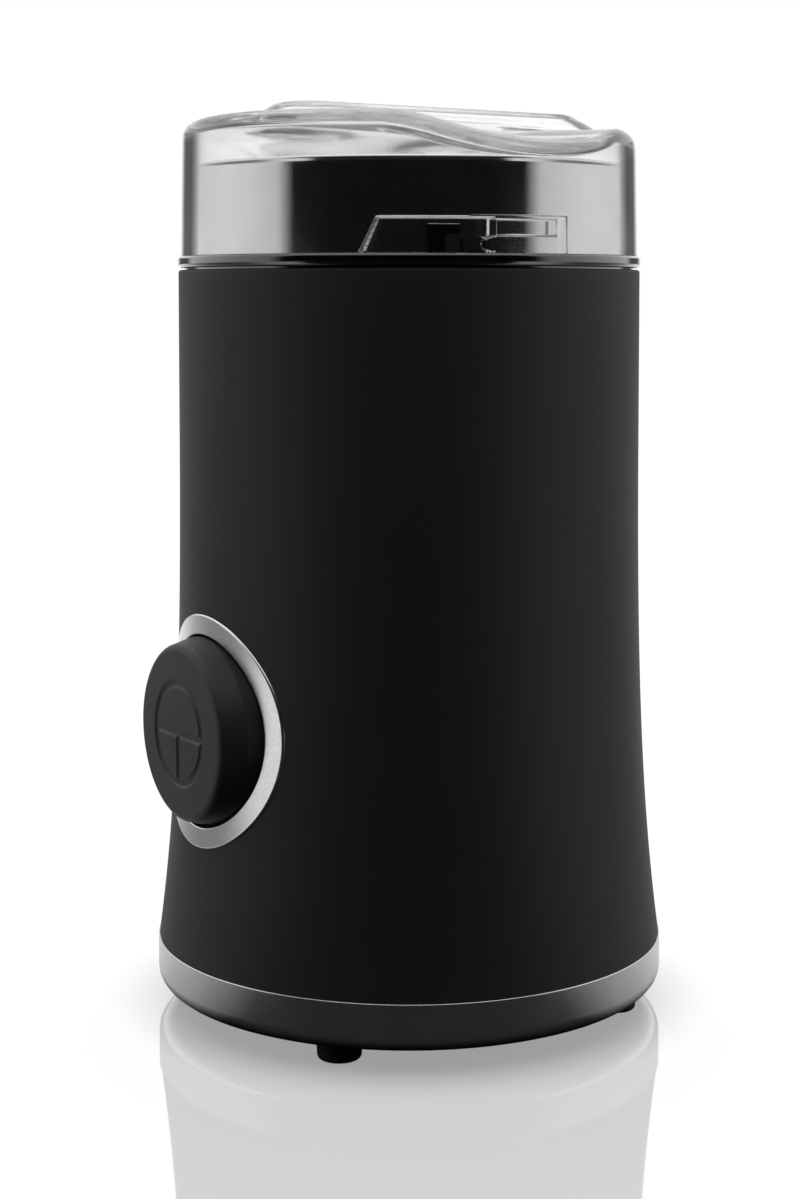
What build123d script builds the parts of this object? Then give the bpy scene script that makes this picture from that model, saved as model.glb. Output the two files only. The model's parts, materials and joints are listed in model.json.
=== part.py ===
from build123d import *

import os
from math import sqrt

# Electric blade coffee grinder. Millimetres, +Z up, origin on the table under the motor axis.
# The press button faces -Y. Bearings are degrees from that front, counted towards +X.

# Outer form
FOOT_LIFT = 3.8
BASE_RING_HEIGHT = 9.2
BASE_RING_WALL = 3.3
BASE_RING_ROUND = 4.0
BASE_RING_LAND = 0.3
BASE_RING_TOP_ROUND = 0.4
BASE_RING_LEDGE = 1.6
BASE_RING_LEDGE_THICKNESS = 2.2
BODY_HEIGHT = 130.7
BODY_FOOT_SETBACK = 0.2
BODY_TOP_RADIUS = 45.2
BODY_FLARE = 4.7
SHELL_WALL = 2.2
FLARE_HEIGHT = 97.0
FLARE_UPPER_PULL = 45.0
FLARE_LOWER_PULL = 25.0
FLARE_LOWER_SWELL = 1.1
BODY_EDGE_ROUND = 0.5

# Collar between body and lid
COLLAR_SHADOW_GAP = 0.35
COLLAR_BAND = 2.3
COLLAR_PROUD = 0.25
COLLAR_FOOT_INSET = 1.2
COLLAR_SKIRT_DEPTH = 7.0
COLLAR_EDGE_ROUND = 0.7

# Grinding bowl
BOWL_LID_GAP = 0.3
BOWL_SHEET = 0.7
BOWL_RIM_RISE = 17.0
BOWL_DEPTH = 35.3
BOWL_CORNER = 9.0
BOWL_RIM_BEAD = 0.45
BOWL_SEAL_WIDTH = 0.5
BOWL_SEAL_DEPTH = 3.6

# Lid
LID_SETBACK = 0.5
LID_DRAFT = 0.4
LID_WALL = 3.0
LID_CROWN_WALL = 2.6
LID_MIDDLE_HEIGHT = 25.0
LID_SLOPE = 1.5
LID_RIM_ROUND = 3.4
LID_INNER_ROUND = 1.6
HOLLOW_RADIUS = 69.0
HOLLOW_REACH = 38.0
HOLLOW_BEARING = 95.0
HOLLOW_FLOOR = 20.6
HOLLOW_EDGE_ROUND = 2.0
GRIP_RISE = 4.0
GRIP_WIDTH = 17.6
GRIP_FRONT = 33.0
GRIP_BACK = 40.5
GRIP_TAPER = 16.0
GRIP_EDGE_ROUND = 1.4
GRIP_FOOT_DEPTH = 5.0
GRIP_WALL = 2.6

# Twist lock between lid and collar
LOCK_COUNT = 2
LOCK_DEPTH = 1.7
LOCK_HEIGHT = 6.4
LOCK_START = 49.8
LOCK_SLOPE_RUN = 3.0
LOCK_ENTRY_END = 78.6
LOCK_SLOT_END = 96.0
LOCK_SLOT_LOW = 3.0
LOCK_SLOT_HIGH = 5.7
LOCK_NOSE_RADIUS = 1.35
LUG_BEARING = 62.0
LUG_SPAN = 4.0
LUG_NOSE_SPAN = 3.5
LUG_THICKNESS = 1.1
LUG_NOSE_LOW = 3.2
LUG_TOP = 5.2
LUG_ROOT = 0.5

# Press button
BUTTON_HEIGHT = 57.1
BUTTON_RADIUS = 17.7
BUTTON_FACE_RADIUS = 16.4
BUTTON_FACE_REACH = 50.9
BUTTON_DOME = 0.3
BUTTON_TAPER_LENGTH = 5.0
BUTTON_EDGE_ROUND = 0.9
BUTTON_WALL = 2.2
BUTTON_TRAVEL = 3.0
BUTTON_GAP = 0.3
SIGN_RADIUS = 10.0
SIGN_LINE = 1.3
SIGN_DEPTH = 0.5
STEM_RADIUS = 4.0
STEM_END = 31.5
STEM_NECK_RADIUS = 3.2
BEZEL_RADIUS = 21.9
BEZEL_PROUD = 0.35
BEZEL_SEAT = 1.2
GUIDE_WALL = 2.2
GUIDE_BACK = 33.0
GUIDE_PLATE = 2.0
GUIDE_EAR_REACH = 25.3
GUIDE_EAR_WIDTH = 9.0
GUIDE_EAR_LOW = 35.4
GUIDE_EAR_HIGH = 38.0
GUIDE_BOSS_RADIUS = 3.4
GUIDE_SCREW_DEPTH = 4.0
CLIP_THICKNESS = 1.0
CLIP_RADIUS = 6.0
BUTTON_SPRING_RADIUS = 6.5
BUTTON_SPRING_WIRE = 1.1
BUTTON_SPRING_TURNS = 4.5
SWITCH_WIDTH = 10.4
SWITCH_FRONT = 27.4
SWITCH_BACK = 15.5
SWITCH_BELOW = 14.0
SWITCH_ABOVE = 9.0
SWITCH_PLUNGER_RADIUS = 2.2
SWITCH_PLUNGER_BACK = 24.0
SWITCH_PLUNGER_GAP = 0.1
CHEEK_THICKNESS = 2.0
CHEEK_SHORT = 0.5
TAB_THICKNESS = 0.8
TAB_WIDTH = 4.4
TAB_HEIGHT = 6.0
TAB_SPACING = 6.4
TAB_OFFSET = 3.0

# Motor, all heights above the table
SHAFT_RADIUS = 3.0
SHAFT_LOW = 20.0
RUNNING_GAP = 0.05
PRESS_GAP = 0.02
STATOR_LOW = 76.0
STATOR_STACK = 24.0
STATOR_HALF_X = 27.0
STATOR_HALF_Y = 24.0
STATOR_YOKE_X = 6.0
STATOR_YOKE_Y = 5.0
STATOR_CORNER = 4.0
BOLT_X = 23.4
BOLT_Y = 20.9
BOLT_RADIUS = 2.0
BOLT_GAP = 0.15
BOLT_HEAD_RADIUS = 3.6
BOLT_HEAD_HEIGHT = 3.2
BOLT_COVER = 1.2
BOLT_TIP_GAP = 0.8
SLEEVE_WALL = 1.0
POLE_HALF_WIDTH = 9.0
POLE_SHOE_THICKNESS = 3.0
POLE_SHOE_DROP = 8.0
AIR_GAP = 0.45
COIL_BUILD = 8.0
COIL_GAP = 0.4
COIL_ROUND = 6.4
ARMATURE_RADIUS = 14.5
ARMATURE_SLOTS = 12
ARMATURE_SLOT_WIDTH = 2.2
ARMATURE_SLOT_DEPTH = 5.0
WINDING_OVERHANG = 7.5
WINDING_RADIUS = 13.2
WINDING_BORE_GAP = 1.5
WINDING_ROUND = 1.6
WINDING_SLOT_GAP = 0.2
WINDING_SLOT_INSET = 1.6
COMMUTATOR_RADIUS = 9.0
COMMUTATOR_LOW = 48.0
COMMUTATOR_LENGTH = 13.0
COMMUTATOR_RISER = 2.0
RISER_PROUD = 1.5
SEGMENT_CUT_DEPTH = 0.8
SEGMENT_CUT_WIDTH = 0.5
BRACKET_PLATE = 2.0
BRACKET_WINDOW_HALF = 9.0
BRACKET_WINDOW_NEAR = 12.0
BRACKET_WINDOW_FAR = 20.0
LOWER_BRACKET_LOW = 38.0
UPPER_BRACKET_LOW = 110.0
BUSH_RADIUS = 5.5
BUSH_LENGTH = 7.0
BUSH_CUP_WALL = 2.4
BUSH_CUP_ABOVE = 0.2
BRUSH_HEIGHT = 54.0
BRUSH_HALF_WIDTH = 2.4
BRUSH_HALF_HEIGHT = 3.0
BRUSH_BACK = 17.0
BRUSH_GAP = 0.3
HOLDER_FRONT = 11.0
HOLDER_BACK = 27.0
HOLDER_WALL = 1.7
HOLDER_END_WALL = 1.5
HOLDER_FOOT = 7.0
BRUSH_SPRING_WIRE = 0.5
BRUSH_SPRING_INSET = 0.5
BRUSH_SPRING_TURNS = 5
FAN_RADIUS = 22.0
FAN_LOW = 22.0
FAN_HEIGHT = 11.0
FAN_DISC = 1.5
FAN_HUB_RADIUS = 6.0
FAN_BLADES = 9
FAN_BLADE_THICKNESS = 1.4
FAN_BLADE_INSET = 0.5
FAN_BLADE_LIFT = 1.0
WASHER_THICKNESS = 0.8

# Carrier that hangs the motor and clamps the bowl
CARRIER_LOW = 118.0
CARRIER_THICKNESS = 4.0
CARRIER_CLEARANCE = 0.6
CARRIER_NECK_RADIUS = 8.0
CARRIER_NECK_BORE = 4.3
CARRIER_PAD_RADIUS = 14.0
CARRIER_SCREW_BEARINGS = (20.0, 140.0, 260.0)
CARRIER_SCREW_INSET = 3.7
CARRIER_BOSS_RADIUS = 3.9
CARRIER_BOSS_LENGTH = 16.0
BOLT_BOSS_RADIUS = 5.0
BOLT_BOSS_RISE = 3.5
DAMPER_RADIUS = 5.5
DAMPER_ROUND = 0.8
BOWL_GASKET = 0.8
BOWL_NUT_HEIGHT = 4.0
BOWL_NUT_RADIUS = 12.0
BOWL_NUT_CHAMFER = 0.8
BOWL_NUT_NOTCHES = 4
BOWL_NUT_NOTCH = 1.5
BOWL_NUT_WEB = 1.0
NECK_ABOVE_NUT = 0.4
SHAFT_SEAL_HEIGHT = 3.5

# Blade
BLADE_SEAT_GAP = 1.2
BLADE_SEAT_RADIUS = 6.5
BLADE_SEAT_HEIGHT = 2.2
BLADE_HALF_SPAN = 33.0
BLADE_WIDTH = 11.0
BLADE_SHEET = 1.5
BLADE_PITCH = 11.0
BLADE_FLAT_HALF = 9.0
BLADE_OVERLAP = 1.5
BLADE_TIP_SWEEP = 6.0
BLADE_TIP_CUT = 2.0
BLADE_TIP_POINT = 1.1
BLADE_BEVEL_DEPTH = 0.8
BLADE_BEVEL_WIDTH = 2.1
BLADE_NUT_RADIUS = 5.6
BLADE_NUT_HEIGHT = 6.5
BLADE_NUT_HEX = 3.2
BLADE_NUT_DOME_RADIUS = 4.8
BLADE_NUT_DOME_ROUND = 3.3
SHAFT_THREAD_RADIUS = 2.5
SHAFT_THREAD_ABOVE = 5.0
SHAFT_CHAMFER = 0.5

# Lid interlock
INTERLOCK_BEARING = 73.4
INTERLOCK_TRAVEL = 2.5
ROD_WIDTH = 4.0
ROD_THICKNESS = 1.0
ROD_TIP_RISE = 2.8
ROD_TIP_ROUND = 1.2
ROD_GAP = 0.25
ROD_FOOT_REACH = 35.0
ROD_FOOT_THICKNESS = 1.5
INTERLOCK_WIDTH = 12.8
INTERLOCK_INNER = 33.0
INTERLOCK_OUTER = 39.4
INTERLOCK_TALL = 9.4
INTERLOCK_PLUNGER_RADIUS = 1.2
INTERLOCK_PLUNGER_SHOWN = 3.3
INTERLOCK_PLUNGER_OFFSET = 1.0
INTERLOCK_PLUNGER_SEAT = 0.4

# Base
PLATE_RECESS = 0.3
PLATE_THICKNESS = 2.5
PLATE_GAP = 0.2
PLATE_RIM_WIDTH = 2.6
FOOT_RADIUS = 4.3
FOOT_INSET = 7.9
FOOT_BEARING = 40.0
FOOT_COUNT = 4
FOOT_STUD_RADIUS = 2.4
FOOT_BARB_RADIUS = 3.2
FOOT_BARB_HEIGHT = 1.5
FOOT_TIP_RADIUS = 1.7
FOOT_EDGE_ROUND = 0.6
BASE_SCREW_BEARING = 65.0
BASE_SCREW_INSET = 10.9
BASE_BOSS_RADIUS = 3.6
BASE_BOSS_HEIGHT = 16.0
BASE_RIB_THICKNESS = 2.0
VENT_COUNT = 18
VENT_INNER = 12.0
VENT_FOOT_GAP = 9.0
VENT_WIDTH = 2.6
GLAND_HEIGHT = 23.0
GLAND_BORE = 3.2
GLAND_NECK_RADIUS = 5.2
GLAND_FLANGE_RADIUS = 7.0
GLAND_FLANGE = 1.8
GLAND_PAD_RADIUS = 9.0
GLAND_PAD = 2.6
GLAND_ROUND = 0.7

# Fasteners
SCREW_RADIUS = 1.45
PILOT_GAP = 0.05
SCREW_CLEARANCE = 0.25
SCREW_HEAD_RADIUS = 2.8
SCREW_HEAD_HEIGHT = 2.0
SCREW_HEAD_CHAMFER = 0.6
SCREW_CROSS_LENGTH = 3.2
SCREW_CROSS_WIDTH = 0.7
SCREW_LENGTH = 11.0
SCREW_TIP_GAP = 2.0
CROSS_SCREW_RADIUS = 1.15
CROSS_SCREW_HEAD_RADIUS = 2.25
CROSS_SCREW_HEAD = 1.6
CROSS_SCREW_TIP = 0.5
CROSS_SCREW_EDGE = 3.0
CROSS_SCREW_STEP = 1.0

# Motor leads
LEAD_RADIUS = 0.9
LEAD_BEND = 2.5
LEAD_JOIN = 4.0
LEAD_OUT = 14.0
LEAD_TURN = 10.0
LEAD_TAIL = 3.0
LEAD_END_INSET = 4.0

# How far a cutter runs past the face that it opens
OVERCUT = 1.0

# Heights and radii that follow from the sizes above
BASE_RING_RADIUS = BODY_TOP_RADIUS + BODY_FLARE
BODY_FOOT_RADIUS = BASE_RING_RADIUS - BODY_FOOT_SETBACK
LID_FOOT_RADIUS = BODY_TOP_RADIUS - LID_SETBACK
LID_TOP_RADIUS = LID_FOOT_RADIUS - LID_DRAFT
BOWL_RADIUS = LID_TOP_RADIUS - LID_WALL - BOWL_LID_GAP
RING_TOP = FOOT_LIFT + BASE_RING_HEIGHT
BODY_TOP = RING_TOP + BODY_HEIGHT
COLLAR_TOP = BODY_TOP + COLLAR_SHADOW_GAP + COLLAR_BAND
SHELL_TOP_INNER = BODY_TOP_RADIUS - SHELL_WALL
BOWL_RIM = COLLAR_TOP + BOWL_RIM_RISE
BOWL_FLOOR = BOWL_RIM - BOWL_DEPTH
COLLAR_BORE = BOWL_RADIUS + BOWL_SEAL_WIDTH + 2 * RUNNING_GAP
COLLAR_THROAT = BOWL_RADIUS + ROD_GAP
LID_INNER_FOOT = LID_FOOT_RADIUS - LID_WALL
LOCK_RADIUS = LID_INNER_FOOT + LOCK_DEPTH
CARRIER_SCREW_REACH = SHELL_TOP_INNER - CARRIER_SCREW_INSET
ROD_OUTER = SHELL_TOP_INNER - ROD_GAP
ROD_INNER = ROD_OUTER - ROD_THICKNESS
STATOR_TOP = STATOR_LOW + STATOR_STACK
CARRIER_TOP = CARRIER_LOW + CARRIER_THICKNESS
PAD_TOP = BOWL_FLOOR - BOWL_GASKET
NUT_LOW = BOWL_FLOOR + BOWL_SHEET
NECK_TOP = NUT_LOW + BOWL_NUT_HEIGHT + NECK_ABOVE_NUT
BLADE_SEAT_LOW = NECK_TOP + BLADE_SEAT_GAP
BLADE_LOW = BLADE_SEAT_LOW + BLADE_SEAT_HEIGHT
NUT_SEAT = BLADE_LOW + BLADE_SHEET
PLATE_LOW = FOOT_LIFT + PLATE_RECESS
PLATE_TOP = PLATE_LOW + PLATE_THICKNESS
PLATE_RADIUS = BASE_RING_RADIUS - BASE_RING_WALL - PLATE_GAP
LEDGE_LOW = RING_TOP - BASE_RING_LEDGE_THICKNESS
FOOT_CIRCLE = BASE_RING_RADIUS - FOOT_INSET
BASE_SCREW_CIRCLE = BASE_RING_RADIUS - BASE_SCREW_INSET
VENT_OUTER = FOOT_CIRCLE - VENT_FOOT_GAP
BUTTON_BORE = BUTTON_RADIUS + BUTTON_GAP
BODY_REACH = BODY_FOOT_RADIUS + BODY_TOP_RADIUS
GUIDE_RADIUS = BUTTON_BORE + GUIDE_WALL
BUTTON_SKIRT_END = GUIDE_BACK + GUIDE_PLATE + BUTTON_TRAVEL + BUTTON_GAP
BOLT_HOLE_TOP = CARRIER_TOP + BOLT_BOSS_RISE - BOLT_COVER
TAB_DEPTH = (SWITCH_BACK + SWITCH_FRONT) / 2 + TAB_OFFSET
INTERLOCK_REACH = (INTERLOCK_INNER + INTERLOCK_OUTER) / 2
CORNERS = [(sx * BOLT_X, sy * BOLT_Y) for sx in (-1, 1) for sy in (-1, 1)]

UP = (Align.CENTER, Align.CENTER, Align.MIN)
FRONT = Plane(origin=(0, 0, BUTTON_HEIGHT), x_dir=(1, 0, 0), z_dir=(0, -1, 0)).location


def rod(radius, low, high):
    """Upright cylinder between two heights."""
    return Pos(0, 0, low) * Cylinder(radius, high - low, align=UP)


def tube(outer, inner, low, high):
    """Upright hollow cylinder between two heights."""
    return rod(outer, low, high) - rod(inner, low, high)


def block(x0, x1, y0, y1, z0, z1):
    """Box between two corners."""
    return Pos((x0 + x1) / 2, (y0 + y1) / 2, (z0 + z1) / 2) * Box(x1 - x0, y1 - y0, z1 - z0)


def outline(*points):
    """Closed straight-sided profile, given as radius and height."""
    return make_face(Polyline([(r, 0, z) for r, z in points], close=True))


def spun(*points):
    """Solid of revolution of a straight-sided profile."""
    return revolve(outline(*points), Axis.Z)


def turned(shape, bearing):
    """Moves a shape made along +X to a bearing."""
    return Rot(0, 0, bearing - 90) * shape


def sector(inner, outer, low, high, start, end):
    """Part of a ring between two bearings."""
    face = outline((inner, low), (outer, low), (outer, high), (inner, high))
    return turned(revolve(face, Axis.Z, revolution_arc=end - start), start)


def grouped(shapes):
    """Several separate solids held in one node."""
    return Compound(children=[solid for shape in shapes for solid in shape.solids()])


def pan_screw(length):
    """Screw pointing down from a head that sits on z = 0."""
    head = rod(SCREW_HEAD_RADIUS, 0, SCREW_HEAD_HEIGHT)
    head = chamfer(head.edges().group_by(Axis.Z)[-1], SCREW_HEAD_CHAMFER)
    long, wide = SCREW_CROSS_LENGTH / 2, SCREW_CROSS_WIDTH / 2
    cross = block(-long, long, -wide, wide, SCREW_HEAD_HEIGHT / 2, SCREW_HEAD_HEIGHT)
    return head + rod(SCREW_RADIUS, -length, 0) - cross - Rot(0, 0, 90) * cross


def coil_spring(radius, wire, length, turns):
    """Round-wire compression spring standing on z = 0."""
    height = length - 2 * wire
    path = Pos(0, 0, wire) * Helix(pitch=height / turns, height=height, radius=radius)
    start = path @ 0
    section = Plane(origin=start, z_dir=path % 0) * Circle(wire / 2)
    return sweep(section, path=path)


def flare(share, inset):
    """Point of the flared side, as radius and height, from the top of the flare down."""
    radii = (BODY_TOP_RADIUS, BODY_TOP_RADIUS, BODY_TOP_RADIUS + FLARE_LOWER_SWELL, BODY_FOOT_RADIUS)
    rises = (FLARE_HEIGHT, FLARE_HEIGHT - FLARE_UPPER_PULL, FLARE_LOWER_PULL, 0)
    weights = ((1 - share) ** 3, 3 * share * (1 - share) ** 2, 3 * share**2 * (1 - share), share**3)
    radius = sum(w * r for w, r in zip(weights, radii))
    rise = sum(w * r for w, r in zip(weights, rises))
    return radius - inset, RING_TOP + rise


def body_radius(height):
    """Outer radius of the body at a height."""
    low, high = 0.0, 1.0
    if height >= RING_TOP + FLARE_HEIGHT:
        return BODY_TOP_RADIUS
    for _ in range(50):
        middle = (low + high) / 2
        if flare(middle, 0)[1] > height:
            low = middle
        else:
            high = middle
    return flare(low, 0)[0]


def body_form(inset):
    """Solid of the body's outer shape, moved inwards."""
    foot = BODY_FOOT_RADIUS - inset
    neck = BODY_TOP_RADIUS - inset
    side = Bezier(
        (foot, 0, RING_TOP),
        (neck + FLARE_LOWER_SWELL, 0, RING_TOP + FLARE_LOWER_PULL),
        (neck, 0, RING_TOP + FLARE_HEIGHT - FLARE_UPPER_PULL),
        (neck, 0, RING_TOP + FLARE_HEIGHT),
    )
    rest = Polyline(
        (neck, 0, RING_TOP + FLARE_HEIGHT),
        (neck, 0, BODY_TOP),
        (0, 0, BODY_TOP),
        (0, 0, RING_TOP),
        (foot, 0, RING_TOP),
    )
    return revolve(make_face([side] + rest.edges()), Axis.Z)


def lid_form(inset, drop, rim_round):
    """Solid of the lid's outer shape, moved inwards and down: a sloping crown with two hollows."""
    tall = LID_MIDDLE_HEIGHT + 3 * GRIP_RISE
    foot = LID_FOOT_RADIUS - inset
    neck = foot - LID_DRAFT * tall / LID_MIDDLE_HEIGHT
    form = spun((0, COLLAR_TOP), (foot, COLLAR_TOP), (neck, COLLAR_TOP + tall), (0, COLLAR_TOP + tall))
    crown = COLLAR_TOP + LID_MIDDLE_HEIGHT - drop
    cover = Box(4 * LID_FOOT_RADIUS, 4 * LID_FOOT_RADIUS, 2 * tall, align=UP)
    form -= Pos(0, 0, crown) * Rot(-LID_SLOPE, 0, 0) * cover
    rim = [edge for edge in form.edges() if edge.geom_type == GeomType.ELLIPSE]
    form = fillet(rim, rim_round)
    centre = COLLAR_TOP + HOLLOW_FLOOR + HOLLOW_RADIUS
    ball = Pos(HOLLOW_REACH, 0, centre) * Rot(90, 0, 0) * Sphere(HOLLOW_RADIUS + drop)
    for side in (-1, 1):
        form -= turned(ball, side * HOLLOW_BEARING)
    return form


def hollow_edges(form):
    """Edges round the two finger hollows."""
    return [edge for face in form.faces().filter_by(GeomType.SPHERE) for edge in face.edges()]


def lid_grip(narrow, drop):
    """Raised bar across the crown with tapered flanks and round ends."""
    length = GRIP_FRONT + GRIP_BACK - 2 * narrow
    plan = Rot(0, 0, 90) * SlotOverall(length, GRIP_WIDTH - 2 * narrow)
    low = COLLAR_TOP + LID_MIDDLE_HEIGHT - drop - GRIP_FOOT_DEPTH
    bar = extrude(plan, GRIP_RISE + GRIP_FOOT_DEPTH, taper=GRIP_TAPER)
    bar = fillet(bar.edges().group_by(Axis.Z)[-1], GRIP_EDGE_ROUND)
    return Pos(0, (GRIP_BACK - GRIP_FRONT) / 2, low) * bar


def make_lid():
    """Clear cap with a thick wall and twist-lock pockets in its inner face."""
    form = lid_form(0, 0, LID_RIM_ROUND)
    lid = fillet(hollow_edges(form), HOLLOW_EDGE_ROUND) + lid_grip(0, 0)
    lid -= lid_form(LID_WALL, LID_CROWN_WALL, LID_INNER_ROUND)
    lid -= lid_grip(GRIP_WALL, LID_CROWN_WALL)
    for turn in range(LOCK_COUNT):
        lid -= Rot(0, 0, 360 / LOCK_COUNT * turn) * lock_pocket()
    return lid


def lock_pocket():
    """Pocket for one lug: a wide entry with one sloped end, then a slot over a rail."""
    low = COLLAR_TOP
    inner = LID_INNER_FOOT - 2 * LOCK_DEPTH
    entry = sector(inner, LOCK_RADIUS, low - OVERCUT, low + LOCK_HEIGHT, LOCK_START, LOCK_ENTRY_END)
    slot = sector(
        inner, LOCK_RADIUS, low + LOCK_SLOT_LOW, low + LOCK_SLOT_HIGH, LOCK_START, LOCK_SLOT_END
    )
    along = Plane(origin=(0, 0, low), x_dir=(0, 1, 0), z_dir=(1, 0, 0))
    wedge = along * make_face(
        Polyline(
            (OVERCUT, -OVERCUT),
            (OVERCUT, LOCK_HEIGHT),
            (0, LOCK_HEIGHT),
            (-LOCK_SLOPE_RUN, -OVERCUT),
            close=True,
        )
    )
    wedge = turned(extrude(wedge, LOCK_RADIUS + OVERCUT), LOCK_START) & tube(
        LOCK_RADIUS, inner, low - OVERCUT, low + LOCK_HEIGHT
    )
    nose = along * Circle(LOCK_NOSE_RADIUS)
    nose = Pos(0, 0, LOCK_SLOT_LOW / 2) * extrude(nose, LOCK_RADIUS + OVERCUT)
    return entry + slot + wedge - turned(nose, LOCK_ENTRY_END)


def make_body_shell():
    """Open tube with the button opening, bezel seat and inner bosses."""
    shell = body_form(0) - body_form(SHELL_WALL)
    edge = shell.edges().filter_by(GeomType.CIRCLE).sort_by(Axis.Z)[-2:].sort_by(SortBy.RADIUS)[-1]
    shell = fillet(edge, BODY_EDGE_ROUND)
    seat = FRONT * tube(BEZEL_RADIUS + RUNNING_GAP, BUTTON_BORE - OVERCUT, 0, BODY_REACH)
    shell -= seat - body_form(BEZEL_SEAT)
    shell -= FRONT * rod(BUTTON_BORE, 0, BODY_REACH)
    inside = body_form(SHELL_WALL / 2)
    for side in (-1, 1):
        place = FRONT * Pos(0, side * GUIDE_EAR_REACH, 0)
        shell += (place * rod(GUIDE_BOSS_RADIUS, GUIDE_EAR_HIGH, BODY_REACH)) & inside
        depth = GUIDE_EAR_HIGH + GUIDE_SCREW_DEPTH + OVERCUT
        shell -= place * rod(SCREW_RADIUS + PILOT_GAP, GUIDE_EAR_HIGH - OVERCUT, depth)
    for bearing in CARRIER_SCREW_BEARINGS:
        low = CARRIER_LOW - CARRIER_BOSS_LENGTH
        column = Pos(CARRIER_SCREW_REACH, 0, 0) * rod(CARRIER_BOSS_RADIUS, low, CARRIER_LOW)
        column -= Pos(CARRIER_SCREW_REACH, 0, 0) * rod(
            SCREW_RADIUS + PILOT_GAP, CARRIER_LOW - SCREW_LENGTH, CARRIER_LOW
        )
        shell += turned(column, bearing) & inside
    for turn in range(FOOT_COUNT):
        high = RING_TOP + BASE_BOSS_HEIGHT
        column = Pos(BASE_SCREW_CIRCLE, 0, 0) * rod(BASE_BOSS_RADIUS, RING_TOP, high)
        half = BASE_RIB_THICKNESS / 2
        column += block(BASE_SCREW_CIRCLE, BODY_REACH, -half, half, RING_TOP, high)
        column -= Pos(BASE_SCREW_CIRCLE, 0, 0) * rod(
            SCREW_RADIUS + PILOT_GAP, RING_TOP, RING_TOP + SCREW_LENGTH
        )
        shell += turned(column, BASE_SCREW_BEARING + 360 / FOOT_COUNT * turn) & inside
    gland = gland_frame()
    face = gland_face()
    shell += (gland * rod(GLAND_PAD_RADIUS, face - GLAND_PAD, BODY_REACH)) & inside
    shell -= gland * rod(GLAND_FLANGE_RADIUS + SCREW_CLEARANCE, face, BODY_REACH)
    shell -= gland * rod(GLAND_NECK_RADIUS + RUNNING_GAP, 0, face + OVERCUT)
    return shell


def gland_frame():
    """Frame on the rear axis of the cord inlet, pointing outwards."""
    return Plane(origin=(0, 0, GLAND_HEIGHT), x_dir=(-1, 0, 0), z_dir=(0, 1, 0)).location


def gland_face():
    """Distance of the inlet's outer seat from the motor axis."""
    edge = body_radius(GLAND_HEIGHT + GLAND_FLANGE_RADIUS)
    return sqrt(edge**2 - GLAND_FLANGE_RADIUS**2) - SHELL_WALL / 4


def make_cord_gland():
    """Rubber grommet with a flange on each side of the wall."""
    face = gland_face()
    gap = RUNNING_GAP
    form = rod(GLAND_FLANGE_RADIUS, face + gap, face + GLAND_FLANGE)
    form = fillet(form.edges().group_by(Axis.Z)[-1], GLAND_ROUND)
    form += rod(GLAND_NECK_RADIUS, face - GLAND_PAD - gap, face + gap)
    form += rod(GLAND_FLANGE_RADIUS, face - GLAND_PAD - GLAND_FLANGE, face - GLAND_PAD - gap)
    return gland_frame() * (form - rod(GLAND_BORE, 0, face + 2 * GLAND_FLANGE))


def make_base_ring():
    """Trim ring with a rounded lower edge and an inner ledge under the body."""
    inner = BASE_RING_RADIUS - BASE_RING_WALL
    ring = spun(
        (inner, FOOT_LIFT),
        (BASE_RING_RADIUS, FOOT_LIFT),
        (BASE_RING_RADIUS, RING_TOP),
        (inner - BASE_RING_LEDGE, RING_TOP),
        (inner - BASE_RING_LEDGE, LEDGE_LOW),
        (inner, LEDGE_LOW),
    )
    low = ring.edges().filter_by(GeomType.CIRCLE).group_by(Axis.Z)[0].sort_by(SortBy.RADIUS)[-1]
    ring = fillet(low, min(BASE_RING_ROUND, BASE_RING_WALL - BASE_RING_LAND))
    high = ring.edges().filter_by(GeomType.CIRCLE).group_by(Axis.Z)[-1].sort_by(SortBy.RADIUS)[-1]
    return fillet(high, BASE_RING_TOP_ROUND)


def make_base_plate():
    """Vented floor with a rim that clamps the trim ring's ledge."""
    plate = rod(PLATE_RADIUS, PLATE_LOW, PLATE_TOP)
    plate += tube(PLATE_RADIUS, PLATE_RADIUS - PLATE_RIM_WIDTH, PLATE_TOP, LEDGE_LOW)
    slot = block(VENT_INNER, VENT_OUTER, -VENT_WIDTH / 2, VENT_WIDTH / 2, 0, PLATE_TOP + OVERCUT)
    for turn in range(VENT_COUNT):
        plate -= turned(slot, 360 / VENT_COUNT * turn)
    for turn in range(FOOT_COUNT):
        bearing = 360 / FOOT_COUNT * turn
        hole = Pos(FOOT_CIRCLE, 0, 0) * rod(FOOT_STUD_RADIUS + RUNNING_GAP, 0, PLATE_TOP + OVERCUT)
        relief = FOOT_BARB_RADIUS + SCREW_CLEARANCE
        hole += Pos(FOOT_CIRCLE, 0, 0) * rod(relief, PLATE_TOP, LEDGE_LOW + OVERCUT)
        plate -= turned(hole, FOOT_BEARING + bearing)
        post = Pos(BASE_SCREW_CIRCLE, 0, 0) * rod(BASE_BOSS_RADIUS, PLATE_LOW, RING_TOP)
        plate += turned(post, BASE_SCREW_BEARING + bearing)
        bore = rod(SCREW_RADIUS + SCREW_CLEARANCE, 0, RING_TOP + OVERCUT)
        bore += rod(SCREW_HEAD_RADIUS + SCREW_CLEARANCE, 0, PLATE_LOW + SCREW_HEAD_HEIGHT)
        plate -= turned(Pos(BASE_SCREW_CIRCLE, 0, 0) * bore, BASE_SCREW_BEARING + bearing)
    return plate


def make_base_screws():
    """Four screws from below into the body's bosses."""
    seat = PLATE_LOW + SCREW_HEAD_HEIGHT
    length = RING_TOP - seat + SCREW_LENGTH - SCREW_TIP_GAP
    screw = Pos(BASE_SCREW_CIRCLE, 0, seat) * Rot(180, 0, 0) * pan_screw(length)
    return grouped(
        turned(screw, BASE_SCREW_BEARING + 360 / FOOT_COUNT * turn) for turn in range(FOOT_COUNT)
    )


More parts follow.
